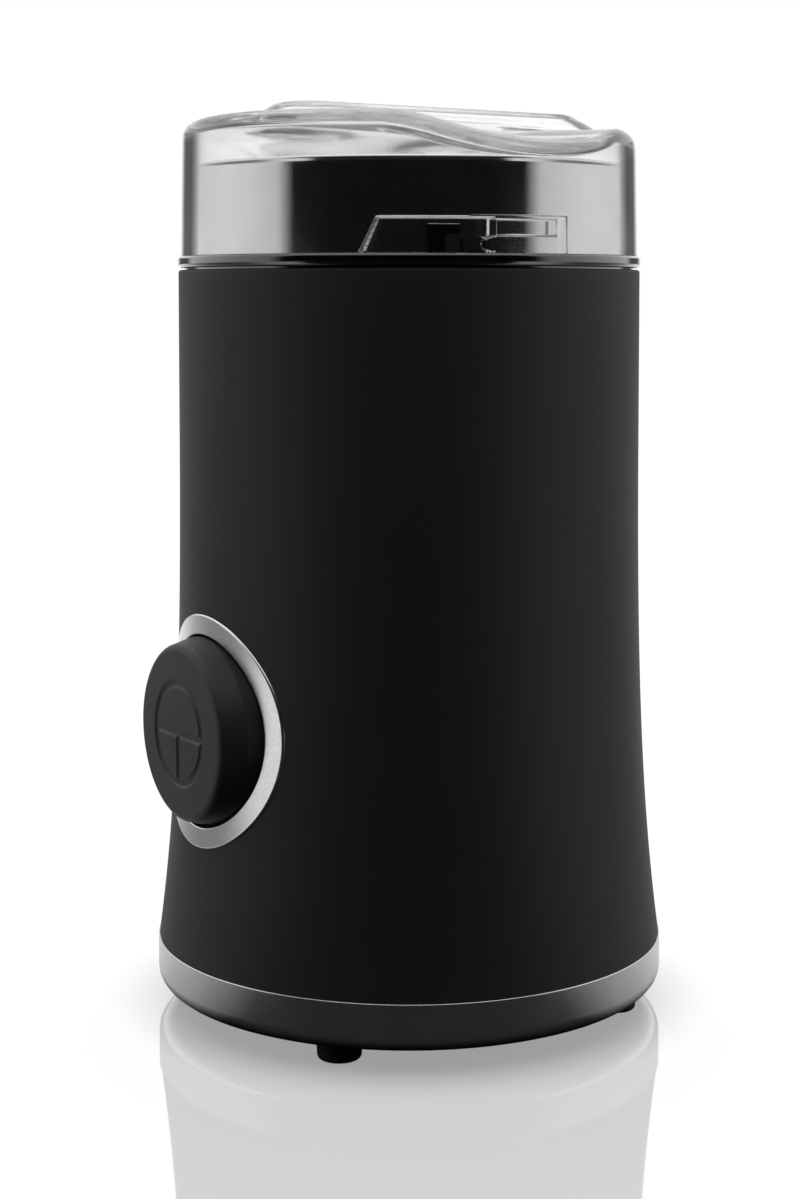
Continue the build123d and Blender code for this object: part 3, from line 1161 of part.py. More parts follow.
def main():
    """Makes every piece and writes one STEP file for each."""
    cup = BUSH_LENGTH + BUSH_CUP_ABOVE
    parts = {
        "body_shell": make_body_shell(),
        "base_ring": make_base_ring(),
        "base_plate": make_base_plate(),
        "base_screws": make_base_screws(),
        "cord_gland": make_cord_gland(),
        "top_collar": make_top_collar(),
        "bowl_seal": tube(
            BOWL_RADIUS + RUNNING_GAP + BOWL_SEAL_WIDTH,
            BOWL_RADIUS + RUNNING_GAP,
            COLLAR_TOP - BOWL_SEAL_DEPTH,
            COLLAR_TOP,
        ),
        "grinding_bowl": make_grinding_bowl(),
        "bowl_gasket": tube(CARRIER_PAD_RADIUS, CARRIER_NECK_RADIUS + RUNNING_GAP, PAD_TOP, BOWL_FLOOR),
        "bowl_nut": make_bowl_nut(),
        "motor_carrier": make_motor_carrier(),
        "carrier_screws": make_carrier_screws(),
        "shaft_seal": tube(
            CARRIER_NECK_BORE - PRESS_GAP,
            SHAFT_RADIUS + RUNNING_GAP,
            NECK_TOP - SHAFT_SEAL_HEIGHT,
            NECK_TOP,
        ),
        "lid": make_lid(),
        "button_bezel": make_button_bezel(),
        "button_cap": make_button_cap(),
        "stem_clip": make_stem_clip(),
        "button_spring": make_button_spring(),
        "button_guide": make_button_guide(),
        "guide_screws": make_guide_screws(),
        "main_switch_body": make_main_switch_body(),
        "main_switch_plunger": make_main_switch_plunger(),
        "switch_screws": grouped(FRONT * screw for screw in switch_screws(0)),
        "switch_terminals": make_switch_terminals(),
        "interlock_rod": make_interlock_rod(),
        "interlock_switch": make_interlock_switch(),
        "interlock_plunger": make_interlock_plunger(),
        "interlock_screw": turned(interlock_screw(0), INTERLOCK_BEARING),
        "stator_core": make_stator_core(),
        "lower_bracket": make_bracket(LOWER_BRACKET_LOW, cup),
        "upper_bracket": make_bracket(UPPER_BRACKET_LOW, cup),
        "lower_bush": tube(
            BUSH_RADIUS, SHAFT_RADIUS + RUNNING_GAP, LOWER_BRACKET_LOW, LOWER_BRACKET_LOW + BUSH_LENGTH
        ),
        "upper_bush": tube(
            BUSH_RADIUS, SHAFT_RADIUS + RUNNING_GAP, UPPER_BRACKET_LOW, UPPER_BRACKET_LOW + BUSH_LENGTH
        ),
        "motor_shaft": make_motor_shaft(),
        "armature_core": make_armature_core(),
        "armature_winding": make_armature_winding(),
        "commutator": make_commutator(),
        "cooling_fan": make_cooling_fan(),
        "blade_seat": tube(BLADE_SEAT_RADIUS, SHAFT_RADIUS + PRESS_GAP, BLADE_SEAT_LOW, BLADE_LOW),
        "blade": make_blade(),
        "blade_nut": make_blade_nut(),
    }
    washer = tube(BUSH_RADIUS, SHAFT_RADIUS + PRESS_GAP, 0, WASHER_THICKNESS)
    parts["thrust_washers"] = grouped(
        [
            Pos(0, 0, LOWER_BRACKET_LOW + BUSH_LENGTH + 2 * RUNNING_GAP) * washer,
            Pos(0, 0, UPPER_BRACKET_LOW - WASHER_THICKNESS - 2 * RUNNING_GAP) * washer,
        ]
    )
    head = LOWER_BRACKET_LOW - BOLT_HEAD_HEIGHT
    bolt = rod(BOLT_HEAD_RADIUS, head, LOWER_BRACKET_LOW)
    bolt += rod(BOLT_RADIUS, LOWER_BRACKET_LOW, BOLT_HOLE_TOP - BOLT_TIP_GAP)
    parts["motor_bolts"] = grouped(Pos(x, y, 0) * bolt for x, y in CORNERS)
    sleeve_inner = BOLT_RADIUS + BOLT_GAP
    sleeve_outer = sleeve_inner + SLEEVE_WALL
    lower_sleeve = tube(sleeve_outer, sleeve_inner, LOWER_BRACKET_LOW + BRACKET_PLATE, STATOR_LOW)
    upper_sleeve = tube(sleeve_outer, sleeve_inner, STATOR_TOP, UPPER_BRACKET_LOW)
    parts["spacer_sleeves"] = grouped(
        Pos(x, y, 0) * sleeve for x, y in CORNERS for sleeve in (lower_sleeve, upper_sleeve)
    )
    damper = tube(DAMPER_RADIUS, sleeve_inner, UPPER_BRACKET_LOW + BRACKET_PLATE, CARRIER_LOW)
    damper = fillet(damper.edges().filter_by(GeomType.CIRCLE).sort_by(SortBy.RADIUS)[-2:], DAMPER_ROUND)
    parts["motor_dampers"] = grouped(Pos(x, y, 0) * damper for x, y in CORNERS)
    for side, name in ((-1, "left"), (1, "right")):
        parts["field_coil_" + ("front" if side < 0 else "rear")] = make_field_coil(side)
        parts["brush_holder_" + name] = make_brush_holder(side)
        parts["brush_" + name] = make_brush(side)
        parts["brush_spring_" + name] = make_brush_spring(side)
        parts["motor_lead_" + name] = make_lead(side)
    for turn in range(FOOT_COUNT):
        parts["foot_%d" % (turn + 1)] = make_foot(turn)
    os.makedirs("parts", exist_ok=True)
    for name, shape in parts.items():
        export_step(shape, "parts/%s.step" % name)


main()
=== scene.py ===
"""Looks of an electric blade coffee grinder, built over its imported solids.

Metres, +Z up. A bearing is an angle from the front of the grinder (-Y), counted towards +X.
"""

import json
import math

import bmesh
import bpy
import numpy as np
from bpy.props import FloatProperty, FloatVectorProperty, PointerProperty
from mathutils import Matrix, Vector


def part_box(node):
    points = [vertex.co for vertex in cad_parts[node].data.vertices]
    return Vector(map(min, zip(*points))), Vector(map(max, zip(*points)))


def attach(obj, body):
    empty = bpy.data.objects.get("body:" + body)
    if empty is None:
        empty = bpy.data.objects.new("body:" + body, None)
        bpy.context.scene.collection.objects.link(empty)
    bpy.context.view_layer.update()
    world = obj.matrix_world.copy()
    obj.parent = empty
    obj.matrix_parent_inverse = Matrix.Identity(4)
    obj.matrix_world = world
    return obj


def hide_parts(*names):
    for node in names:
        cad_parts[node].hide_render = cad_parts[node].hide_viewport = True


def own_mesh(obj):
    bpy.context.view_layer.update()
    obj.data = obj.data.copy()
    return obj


bl_info = {
    "name": "Blade coffee grinder",
    "version": (1, 0, 0),
    "blender": (4, 5, 0),
    "location": "3D View > Sidebar > Grinder",
    "description": "Builds the looks of a blade coffee grinder over its solids",
    "category": "Object",
}

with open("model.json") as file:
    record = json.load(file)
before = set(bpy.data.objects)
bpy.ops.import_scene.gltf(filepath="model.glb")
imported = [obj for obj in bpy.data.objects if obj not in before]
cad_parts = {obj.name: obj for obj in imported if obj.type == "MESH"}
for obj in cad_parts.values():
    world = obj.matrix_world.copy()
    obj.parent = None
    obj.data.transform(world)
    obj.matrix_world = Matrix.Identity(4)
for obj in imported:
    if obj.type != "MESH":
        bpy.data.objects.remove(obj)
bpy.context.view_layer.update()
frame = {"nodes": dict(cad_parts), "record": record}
MM = 0.001

BODY_LOW, BODY_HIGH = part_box("body_shell")
RING_LOW, RING_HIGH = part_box("base_ring")
COLLAR_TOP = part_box("top_collar")[1].z
BOWL_LOW, BOWL_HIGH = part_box("grinding_bowl")
LID_LOW, LID_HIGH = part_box("lid")
CAP_LOW, CAP_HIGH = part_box("button_cap")
GLAND_LOW, GLAND_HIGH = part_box("cord_gland")
BUTTON_Z = (CAP_LOW.z + CAP_HIGH.z) / 2
GLAND_Z = (GLAND_LOW.z + GLAND_HIGH.z) / 2

# Steps of the meshes; single angles are in degrees
MERGE = 0.002 * MM
SHARP, LID_SHARP = 32, 50
ARC_STEPS, ARC_LEAD = 7, 0.12 * MM
CURVE_STEPS, EDGE_STEPS, LUG_STEPS, HALVINGS = 600, 5, 8, 40
COLUMN_STEP = 2.0
RING_COLUMNS, BOWL_COLUMNS, CAP_COLUMNS, BEZEL_COLUMNS = 216, 200, 360, 256
GLAND_COLUMNS, FOOT_COLUMNS = 72, 64
SPRING_STEPS, WIRE_SIDES = 240, 12
LOW_ROWS, BUTTON_ROWS, HIGH_ROWS, BOWL_ROWS = 12, 25, 28, 10
MIDDLE_ROWS, CROWN_ROWS, RIM_ROWS = 6, 21, 10
SIDE_ROWS, UPPER_ROWS, LOCK_ROWS = 13, 11, 47
LOCK_BEARINGS = np.radians(np.arange(46.0, 101.5, 0.36))
PLAIN_BEARINGS = np.radians(np.arange(101.5, 226.0, 1.05))
GRIP_MARGINS = (
    np.array([-2.4, -1.2, -0.5, 0, 0.4, 0.8, 1.2, 1.7, 2.2, 2.8, 3.5, 4.3, 5.2, 6.2, 7.4]) * MM
)
PATCH_SHARES = np.linspace(0, 1, 10)[:, None] ** 1.4
FACE_SHARES = np.concatenate(
    [np.linspace(0, 0.5, 36), np.linspace(0.5, 0.72, 32)[1:], np.linspace(0.72, 1, 12)[1:-1]]
)

# Small sizes that no setting changes
FIT = 0.05 * MM
SMALL_ROUND = 0.3 * MM
BUTTON_REACH = 26 * MM
BUTTON_PATCH = (math.radians(36.5), 26.5 * MM)
GLAND_PATCH = (math.radians(16.5), 12.0 * MM)
GLAND_ROUNDS = (0.2 * MM, 0.7 * MM, 0.5 * MM)
LOCK_MARGIN = 1.2 * MM
GRIP_SEARCH = 1.6
LID_LIFT = 0.02 * MM
SIGN_SOFTNESS = 0.5 * MM
SLOT_EDGE, SLOT_CLEAR = 0.001, 0.01  # radians
BORE_MARGIN = 0.2 * MM
LUG_ROUND, NOSE_INSET, NOSE_LEAD = 0.25 * MM, 0.02 * MM, 0.125
BEAD_BEND = np.radians(np.linspace(-40, 220, 14))
BEAD_DROP, BOWL_WALL_START = 0.6 * MM, 12 * MM
FOOT_RISE, FOOT_STUD, FOOT_TIP = 0.3 * MM, 2.4 * MM, 1.7 * MM
FOOT_BARB, BARB_HEIGHT, BARB_ROUND, TIP_ROUND = 3.2 * MM, 1.5 * MM, 0.1 * MM, 0.2 * MM

# Finishes
NOISE_RANGE = (0.3, 0.7)
GRAIN_STRENGTH, LINE_STRENGTH, WIRE_GRAIN = 0.4, 0.6, 900
WHITE = (1, 1, 1, 1)
FINISHES = {}
DARK_NODES = {"interlock_rod": "inner_plastic"}

# Stage. Levels are stops of agreement with the backdrop's direction and brightness there.
# Four numbers in a row are a low and a high value and the results at them.
LIGHT_TURNS = 32
BACKDROP = (-0.8443, 0.5358, 0.0)
ROOM_LEVELS = ((0.27, 0.006), (0.345, 0.75), (0.5, 0.9), (0.66, 1.0))
# Painted light: brightness of the floor's glow as reflections see it, near the grinder and far off
NEAR_LEVELS = ((0.17, 0.02), (0.26, 0.16), (0.34, 0.30), (0.45, 0.42), (0.67, 0.7))
FAR_LEVELS = (
    (0.17, 0.02), (0.22, 1.0), (0.33, 0.9), (0.44, 0.3),
    (0.50, 0.2), (0.65, 0.2), (0.79, 0.4), (0.91, 1.0),
)
EDGE_LEVELS = ((0.84, 1.0), (0.885, 0.12), (0.95, 0.12), (0.98, 1.0))
CEILING = (0.5, 0.85, 0.0, 1.0)
STRIP_HEIGHT = (0.1, 0.17, 1.0, 0.0)
TRAPPED_LEVEL = 0.08
AGAIN_LEVEL = 0.15
NEVER, ONCE, TWICE = 0.5, 1.5, 2.5
FLOOR_HALF = 6.0
FLOOR_FAR = (0.09, 0.2, 0.0, 1.0)
# Painted shadow: the floor's glow to reflections falls to black under the grinder
FLOOR_UNDER_PAINTED_SHADOW = (0.045, 0.06, 0.0, 1.0)
# Painted shadow: the floor's glow to the camera is dimmed round the grinder's foot
FLOOR_GLOW_PAINTED_SHADOW = (0.046, 0.062, 0.7, 1.1)
GLOW_SHARE = 0.75
MIRROR_FADE = (0.22, 0.55, 0.36, 0.0)
MIRROR_ROUGHNESS = 0.04
LAMP_PLACE = Vector((-0.35, 0.22, 1.0))
LAMP_TARGET = Vector((0, 0, 0.08))
LAMP_SIZE = 0.9
LAMP_POWER = 2.0
CAMERA_BEARING = math.radians(57.6)
CAMERA_DISTANCE = 0.42294
CAMERA_HEIGHT = 0.13892
CAMERA_TILT = math.radians(90 - 3.5)
CAMERA_LENS = 64.25
CAMERA_SHIFT = (-0.00755, -0.14506)
CAMERA_CLIP = (0.01, 50)


def length(name, description, default):
    """A length setting, given in millimetres and kept in metres."""
    return FloatProperty(
        name=name, description=description, default=default * MM, unit="LENGTH", precision=5
    )


def angle(name, description, degrees):
    """An angle setting, given in degrees and kept in radians."""
    return FloatProperty(
        name=name, description=description, default=math.radians(degrees), subtype="ANGLE"
    )


def colour(name, description, default):
    """A linear colour setting."""
    return FloatVectorProperty(
        name=name, description=description, default=default, subtype="COLOR", min=0.0, max=1.0
    )


class GrinderBody(bpy.types.PropertyGroup):
    """Sizes of the body, trim ring and feet"""

    top_radius: length("Top radius", "Radius of the straight upper body", 45.2)
    wall: length("Wall", "Thickness of the body's wall", 2.2)
    flare: length("Flare height", "Height over which the body widens to its foot", 97)
    upper_pull: length("Upper pull", "How long the flare stays upright at its top", 45)
    lower_pull: length("Lower pull", "How long the flare keeps its foot direction", 25)
    swell: length("Swell", "How far the flare's lower handle stands out", 1.1)
    edge: length("Edge round", "Round on the body's upper edge", 0.5)
    ring_wall: length("Ring wall", "Thickness of the trim ring", 3.3)
    ring_round: length("Ring round", "Round on the trim ring's lower edge", 3.0)
    ring_edge: length("Ring edge", "Round on the trim ring's upper edge", 0.15)
    ledge: length("Ledge", "Width of the ring's inner ledge", 1.6)
    ledge_depth: length("Ledge depth", "Thickness of the ring's inner ledge", 2.2)
    foot_edge: length("Foot edge", "Round on a foot's lower edge", 0.8)
    foot_draft: length("Foot draft", "How much a foot narrows to the table", 0.25)
    gland_bore: length("Grommet bore", "Radius of the grommet's hole", 3.2)
    gland_neck: length("Grommet neck", "Radius of the grommet inside the wall", 5.2)
    gland_flange: length("Grommet flange", "Thickness of the grommet's flanges", 1.8)
    gland_fit: length("Grommet fit", "Gap between the grommet and the wall", 0.05)
    gland_gap: length("Grommet gap", "Gap round the grommet's outer flange", 0.25)
    gland_pad: length("Grommet pad", "Radius of the thicker wall behind the grommet", 9.0)


class GrinderCollar(bpy.types.PropertyGroup):
    """Sizes of the gloss collar and the steel bowl"""

    gap: length("Shadow gap", "Gap between body and collar band", 0.35)
    proud: length("Proud", "How far the band stands out from the body", 0.25)
    foot_inset: length("Foot inset", "How far the band's foot is set in", 1.2)
    skirt: length("Skirt depth", "Depth of the collar inside the body", 7.0)
    edge: length("Edge round", "Round on the band's edges", 0.7)
    bore: length("Bore", "Radius of the collar's upper bore", 41.6)
    throat: length("Throat", "Radius of the collar's lower bore", 41.25)
    step: length("Step", "Depth of the upper bore", 3.7)
    slot_bearing: angle("Slot bearing", "Place of the slot for the safety rod", 73.4)
    slot_half: length("Slot half width", "Half the width of that slot", 2.25)
    slot_reach: length("Slot reach", "Radius that the slot is cut to", 42.85)
    lug_bearing: angle("Lug bearing", "Place of the first lid lug", 62)
    lug_span: angle("Lug span", "Width of a lid lug", 4)
    lug_nose: angle("Lug nose", "How far a lug's nose reaches on", 3.5)
    lug_inner: length("Lug inner radius", "Inner radius of a lid lug", 42.05)
    lug_outer: length("Lug outer radius", "Outer radius of a lid lug", 43.15)
    lug_low: length("Nose height", "Height of the nose's lower face over the band", 3.2)
    lug_root: length("Lug root", "How far a lug goes into the band", 0.5)
    bowl_sheet: length("Bowl sheet", "Thickness of the bowl's steel", 0.7)
    bowl_corner: length("Bowl corner", "Round between the bowl's wall and floor", 9.0)
    bowl_bead: length("Bowl bead", "Radius of the bead on the bowl's rim", 0.45)
    bowl_bore: length("Bowl bore", "Radius of the hole in the bowl's floor", 8.05)


class GrinderButton(bpy.types.PropertyGroup):
    """Sizes of the press button and its ring"""

    face: length("Face radius", "Radius of the button's face", 16.4)
    dome: length("Dome", "Rise of the face to its middle", 0.3)
    taper: length("Taper", "Length of the tapered side", 5.0)
    edge: length("Edge round", "Round around the face", 1.5)
    shoulder: length("Shoulder round", "Round between taper and skirt", 1.6)
    wall: length("Wall", "Thickness of the button's wall", 2.2)
    skirt: length("Skirt", "Length of the straight skirt", 7.6)
    stem: length("Stem radius", "Radius of the stem", 4.0)
    neck: length("Neck radius", "Radius of the stem's neck", 3.2)
    neck_length: length("Neck length", "Length of the stem's neck", 1.52)
    sign: length("Sign radius", "Outer radius of the engraved sign", 10.0)
    line: length("Sign line", "Width of the engraved lines", 1.3)
    depth: length("Sign depth", "Depth of the engraved lines", 0.35)
    bore: length("Bore", "Radius of the opening in the ring", 18.0)
    ring: length("Ring radius", "Outer radius of the ring", 21.9)
    ring_gap: length("Ring gap", "Gap between ring and body", 0.05)
    ring_proud: length("Ring proud", "How far the ring stands out from the body", 0.35)
    ring_seat: length("Ring seat", "How deep the ring sits in the body", 1.15)
    ring_edge: length("Ring edge", "Round on the ring's edges", 0.3)
    spring_wire: length("Spring wire", "Thickness of the return spring's wire", 1.1)
    spring_turns: FloatProperty(
        name="Spring turns", description="Turns of the return spring", default=4.5
    )


class GrinderLid(bpy.types.PropertyGroup):
    """Sizes of the clear lid"""

    draft: length("Draft", "How much the lid narrows to its top", 0.4)
    wall: length("Wall", "Thickness of the side wall", 3.0)
    crown: length("Crown", "Thickness of the top", 2.6)
    middle: length("Middle height", "Height of the top over the axis", 25.0)
    slope: angle("Slope", "Fall of the top to the rear", 1.5)
    rim: length("Rim round", "Round on the outer rim", 3.4)
    inner_rim: length("Inner round", "Round inside the rim", 0.7)
    hollow: length("Hollow radius", "Radius of the finger hollows", 69.0)
    hollow_reach: length("Hollow reach", "Distance of the hollows from the axis", 38.0)
    hollow_bearing: angle("Hollow bearing", "Bearing of the finger hollows", 95)
    hollow_floor: length("Hollow floor", "Height of the hollows' lowest point", 20.6)
    hollow_blend: length("Hollow blend", "Softness of the hollows' edges", 1.6)
    grip_rise: length("Grip rise", "Height of the grip over the top", 4.0)
    grip_width: length("Grip width", "Width of the grip's crest", 10.8)
    grip_front: length("Grip front", "Reach of the crest to the front", 28.0)
    grip_back: length("Grip back", "Reach of the crest to the rear", 37.0)
    grip_fall: angle("Grip fall", "Slope of the grip's sides", 32)
    grip_edge: length("Grip edge", "Softness of the crest's edge", 1.2)
    grip_root: length("Grip root", "Softness of the grip's foot", 1.6)
    lock_depth: length("Lock depth", "Depth of a lock pocket", 1.7)
    lock_height: length("Lock height", "Height of a lock pocket", 6.4)
    lock_start: angle("Lock start", "Bearing of the pocket's sloped end", 49.8)
    lock_run: length("Lock run", "Run of the sloped end", 3.0)
    lock_entry: angle("Lock entry", "Bearing where the entry ends", 78.6)
    lock_end: angle("Lock end", "Bearing where the slot ends", 96.0)
    slot_low: length("Slot low", "Lower edge of the slot", 3.0)
    slot_high: length("Slot high", "Upper edge of the slot", 6.1)
    slot_depth: length("Slot depth", "Depth of the slot", 1.0)
    nose: length("Nose", "Half the height of the stop at the entry's end", 1.35)
    nose_reach: length("Nose reach", "How far that stop reaches into the entry", 2.6)
    field_start: angle("Field start", "Bearing where the faint field begins", 72.5)
    field_end: angle("Field end", "Bearing where the faint field ends", 99.4)
    field_height: length("Field height", "Height of the faint field", 6.75)
    field_depth: length("Field depth", "Depth of the faint field", 0.3)
    lock_edge: length("Lock edge", "Softness of the pocket's edges", 0.3)


class GrinderFinish(bpy.types.PropertyGroup):
    """Colours of the finishes"""

    body: colour("Body", "Soft-touch coating", (0.016, 0.016, 0.0165))
    button: colour("Button", "Satin black moulding", (0.020, 0.020, 0.0206))
    gloss: colour("Collar", "Gloss black moulding", (0.003, 0.003, 0.0032))
    silver: colour("Silver", "Satin silver trim", (0.76, 0.765, 0.77))
    steel: colour("Steel", "Polished steel", (0.66, 0.66, 0.67))
    clear: colour("Clear", "Clear moulding", (0.975, 0.98, 0.98))
    rubber: colour("Rubber", "Black rubber", (0.016, 0.016, 0.016))


def direction(bearing):
    """Unit vectors on the ground that point along bearings."""
    return np.stack([np.sin(bearing), -np.cos(bearing)], axis=-1)


def rounded(*corners):
    """Closed outline whose corners, given as two coordinates and a radius, are arcs.

    An arc's centre lies on the bisector, radius / sin(half angle) from the corner. Each arc is
    stepped evenly and has one more point a little way along both of its straights. The points come
    in one block for each corner.
    """
    corners = np.array(corners, float)
    corners, radii = corners[:, :2], corners[:, 2]
    before = np.roll(corners, 1, axis=0) - corners
    after = np.roll(corners, -1, axis=0) - corners
    before /= np.linalg.norm(before, axis=1, keepdims=True)
    after /= np.linalg.norm(after, axis=1, keepdims=True)
    half = 0.5 * np.arccos(np.clip((before * after).sum(axis=1), -1, 1))
    bisector = before + after
    bisector /= np.linalg.norm(bisector, axis=1, keepdims=True)
    centre = corners + bisector * (radii / np.sin(half))[:, None]
    reach = (radii / np.tan(half))[:, None]
    start = corners + before * reach
    end = corners + after * reach
    turn = (np.pi - 2 * half)[:, None, None]
    share = np.linspace(0, 1, ARC_STEPS)[None, :, None]
    first = np.sin((1 - share) * turn) / np.sin(turn)
    last = np.sin(share * turn) / np.sin(turn)
    arcs = centre[:, None] + first * (start - centre)[:, None] + last * (end - centre)[:, None]
    lead = (start + before * ARC_LEAD)[:, None]
    trail = (end + after * ARC_LEAD)[:, None]
    return np.concatenate([lead, arcs, trail], axis=1)


def outlined(*corners):
    """Points of a closed outline with rounded corners, in one row."""
    return rounded(*corners).reshape(-1, 2)


def placed(bearing, radius, height):
    """Points from bearings, radii about Z and heights that fit each other."""
    bearing, radius, height = np.broadcast_arrays(bearing, radius, height)
    return np.stack([radius * np.sin(bearing), -radius * np.cos(bearing), height], axis=-1)


def spun(outline, count):
    """Outline of (radius, height) turned once about Z."""
    bearing = np.linspace(-np.pi, np.pi, count, endpoint=False)
    return placed(bearing, outline[:, :1], outline[:, 1:])


def spun_forward(outline, count, height, sign):
    """Outline of (radius, reach) turned once about a level axis; reach runs along sign times Y."""
    turn = np.linspace(0, 2 * np.pi, count, endpoint=False)
    radius, reach = outline[:, None, 0], outline[:, None, 1]
    x = radius * np.cos(turn)
    z = height + radius * np.sin(turn)
    return np.stack([x, np.broadcast_to(sign * reach, x.shape), z], axis=-1)


def swept(outline, bearings):
    """Outline of (radius, height) carried along bearings, each end closed to its middle."""
    return capped(placed(bearings[:, None], outline[:, 0], outline[:, 1]))


def capped(grid):
    """Rows of a tube with one more row at each end, drawn together in that end's middle."""
    ends = np.broadcast_to(grid.mean(axis=1, keepdims=True), grid.shape)
    return np.concatenate([ends[:1], grid, ends[-1:]])


def sheet(points, loop_rows=False, loop_columns=True, holes=()):
    """Points of a grid and its four-sided faces; holes are (rows, columns) ranges without faces."""
    rows, columns = points.shape[:2]
    index = np.arange(rows * columns).reshape(rows, columns)
    if loop_columns:
        index = np.hstack([index, index[:, :1]])
    if loop_rows:
        index = np.vstack([index, index[:1]])
    quads = np.stack([index[:-1, :-1], index[:-1, 1:], index[1:, 1:], index[1:, :-1]], axis=-1)
    keep = np.ones(quads.shape[:2], bool)
    for row, column in holes:
        keep[row[0] : row[1], column[0] : column[1]] = False
    return points.reshape(-1, 3), quads[keep]


def make_piece(name, sheets, body, node, slot, sharp=SHARP):
    """Joins sheets into one closed mesh and hangs it on a body in place of its solid."""
    starts = np.cumsum([0] + [len(points) for points, _ in sheets])
    points = np.vstack([points for points, _ in sheets])
    quads = np.vstack([faces + start for (_, faces), start in zip(sheets, starts)])
    mesh = bpy.data.meshes.new(name)
    mesh.from_pydata(points.tolist(), [], quads.tolist())
    shape = bmesh.new()
    shape.from_mesh(mesh)
    bmesh.ops.remove_doubles(shape, verts=shape.verts, dist=MERGE)
    bmesh.ops.dissolve_degenerate(shape, edges=shape.edges, dist=MERGE / 10)
    bmesh.ops.recalc_face_normals(shape, faces=shape.faces)
    shape.to_mesh(mesh)
    shape.free()
    mesh.shade_smooth()
    mesh.set_sharp_from_angle(angle=math.radians(sharp))
    mesh.materials.append(finishes()[slot])
    piece = bpy.data.objects.new(name, mesh)
    bpy.context.scene.collection.objects.link(piece)
    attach(piece, body)
    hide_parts(node)
    return piece


def body_radius(height, sizes):
    """Outer radius of the body at a height: a cubic curve from the foot, straight above it.

    A share s along the curve weighs its four handles by (1 - s)^3, 3 s (1 - s)^2, 3 s^2 (1 - s)
    and s^3.
    """
    share = np.linspace(0, 1, CURVE_STEPS)
    weights = np.stack(
        [(1 - share) ** 3, 3 * share * (1 - share) ** 2, 3 * share**2 * (1 - share), share**3]
    )
    top = sizes.top_radius
    radii = np.array([BODY_HIGH.x, top + sizes.swell, top, top]) @ weights
    steps = np.array([0, sizes.lower_pull, sizes.flare - sizes.upper_pull, sizes.flare])
    return np.interp(height, BODY_LOW.z + steps @ weights, radii)


def on_body(bearing, height, depth, sizes):
    """Points at a depth under the body's skin."""
    return placed(bearing, body_radius(height, sizes) - depth, height)


def ring_about(bearing, turn, radius, reach, height):
    """Circle about a level axis: radius times the turn's cosine across it and its sine upwards."""
    across = radius * np.cos(turn)[:, None] * direction(bearing + np.pi / 2)
    return np.column_stack([across + reach * direction(bearing), height + radius * np.sin(turn)])


def body_openings(sizes, button):
    """Openings as bearing, height, half the bearing and height left free, two rims and rings.

    The rims are radii in the outer and the inner skin. A ring is a radius and its distance from
    the body's axis: a flat seat for the grommet's flange, its bore and the pad behind it.
    """
    rim = button.ring + button.ring_gap
    flange = GLAND_HIGH.x + sizes.gland_gap
    bore = sizes.gland_neck + sizes.gland_fit
    seat = GLAND_HIGH.y - sizes.gland_flange
    back = GLAND_LOW.y + sizes.gland_flange
    rings = ((flange, seat), (bore, seat), (bore, back), (sizes.gland_pad, back))
    return (
        (0.0, BUTTON_Z, BUTTON_PATCH, (rim, rim), ()),
        (math.pi, GLAND_Z, GLAND_PATCH, (flange, sizes.gland_pad), rings),
    )


def body_sheets(sizes, button):
    """Body wall as a loop of rows round its section, with a ringed patch at each opening.

    The rows run up the outside, over the edge and down the inside. A patch blends from a round
    rim to the square left free in the rows, on both skins, and rings join the two rims.
    """
    columns = np.radians(np.arange(-90, 270, COLUMN_STEP))
    below, above = BUTTON_Z - BUTTON_REACH, BUTTON_Z + BUTTON_REACH
    low = np.linspace(BODY_LOW.z, below, LOW_ROWS)
    middle = np.linspace(below, above, BUTTON_ROWS)
    high = np.linspace(above, BODY_HIGH.z - sizes.edge, HIGH_ROWS)
    wall = np.concatenate([low, middle[1:], high[1:]])
    bend = np.linspace(0, np.pi / 2, EDGE_STEPS)[1:]
    edge_height = BODY_HIGH.z - sizes.edge * (1 - np.sin(bend))
    edge_depth = sizes.edge * (1 - np.cos(bend))
    height = np.concatenate([wall, edge_height, [BODY_HIGH.z], wall[::-1]])
    depth = np.concatenate(
        [np.zeros(len(wall)), edge_depth, [sizes.wall], np.full(len(wall), sizes.wall)]
    )
    holes = []
    sheets = []
    for bearing, centre, patch, radii, rings in body_openings(sizes, button):
        first, last = np.flatnonzero(np.abs(columns - bearing) < patch[0])[[0, -1]]
        outer = np.flatnonzero(np.abs(wall - centre) < patch[1])[[0, -1]]
        inner = len(height) - 1 - outer[::-1]
        across = np.arange(first, last)
        rims = []
        for rows, inset, radius in zip((outer, inner), (0.0, sizes.wall), radii):
            holes.append((rows, (first, last)))
            up = np.arange(rows[0], rows[1])
            row = np.concatenate(
                [np.full(len(across), rows[0]), up, np.full(len(across), rows[1]), up[::-1] + 1]
            )
            column = np.concatenate(
                [across, np.full(len(up), last), across[::-1] + 1, np.full(len(up), first)]
            )
            side_bearing, side_height = columns[column], height[row]
            turn = np.arctan2(side_height - centre, (side_bearing - bearing) * sizes.top_radius)
            rim_height = centre + radius * np.sin(turn)
            rim_bearing = bearing + np.arcsin(
                radius * np.cos(turn) / (body_radius(rim_height, sizes) - inset)
            )
            bearings = rim_bearing + PATCH_SHARES * (side_bearing - rim_bearing)
            heights = rim_height + PATCH_SHARES * (side_height - rim_height)
            grid = on_body(bearings, heights, inset, sizes)
            rims.append((grid[0], turn))
            sheets.append(sheet(grid))
        (outer_line, turn), (inner_line, _) = rims
        backwards = inner_line[::-1]
        shift = np.argmin(np.linalg.norm(backwards - outer_line[0], axis=1))
        strip = [outer_line]
        strip += [ring_about(bearing, turn, radius, away, centre) for radius, away in rings]
        strip += [np.roll(backwards, -shift, axis=0)]
        sheets.append(sheet(np.stack(strip)))
    grid = on_body(columns, height[:, None], depth[:, None], sizes)
    return [sheet(grid, loop_rows=True, holes=holes), *sheets]


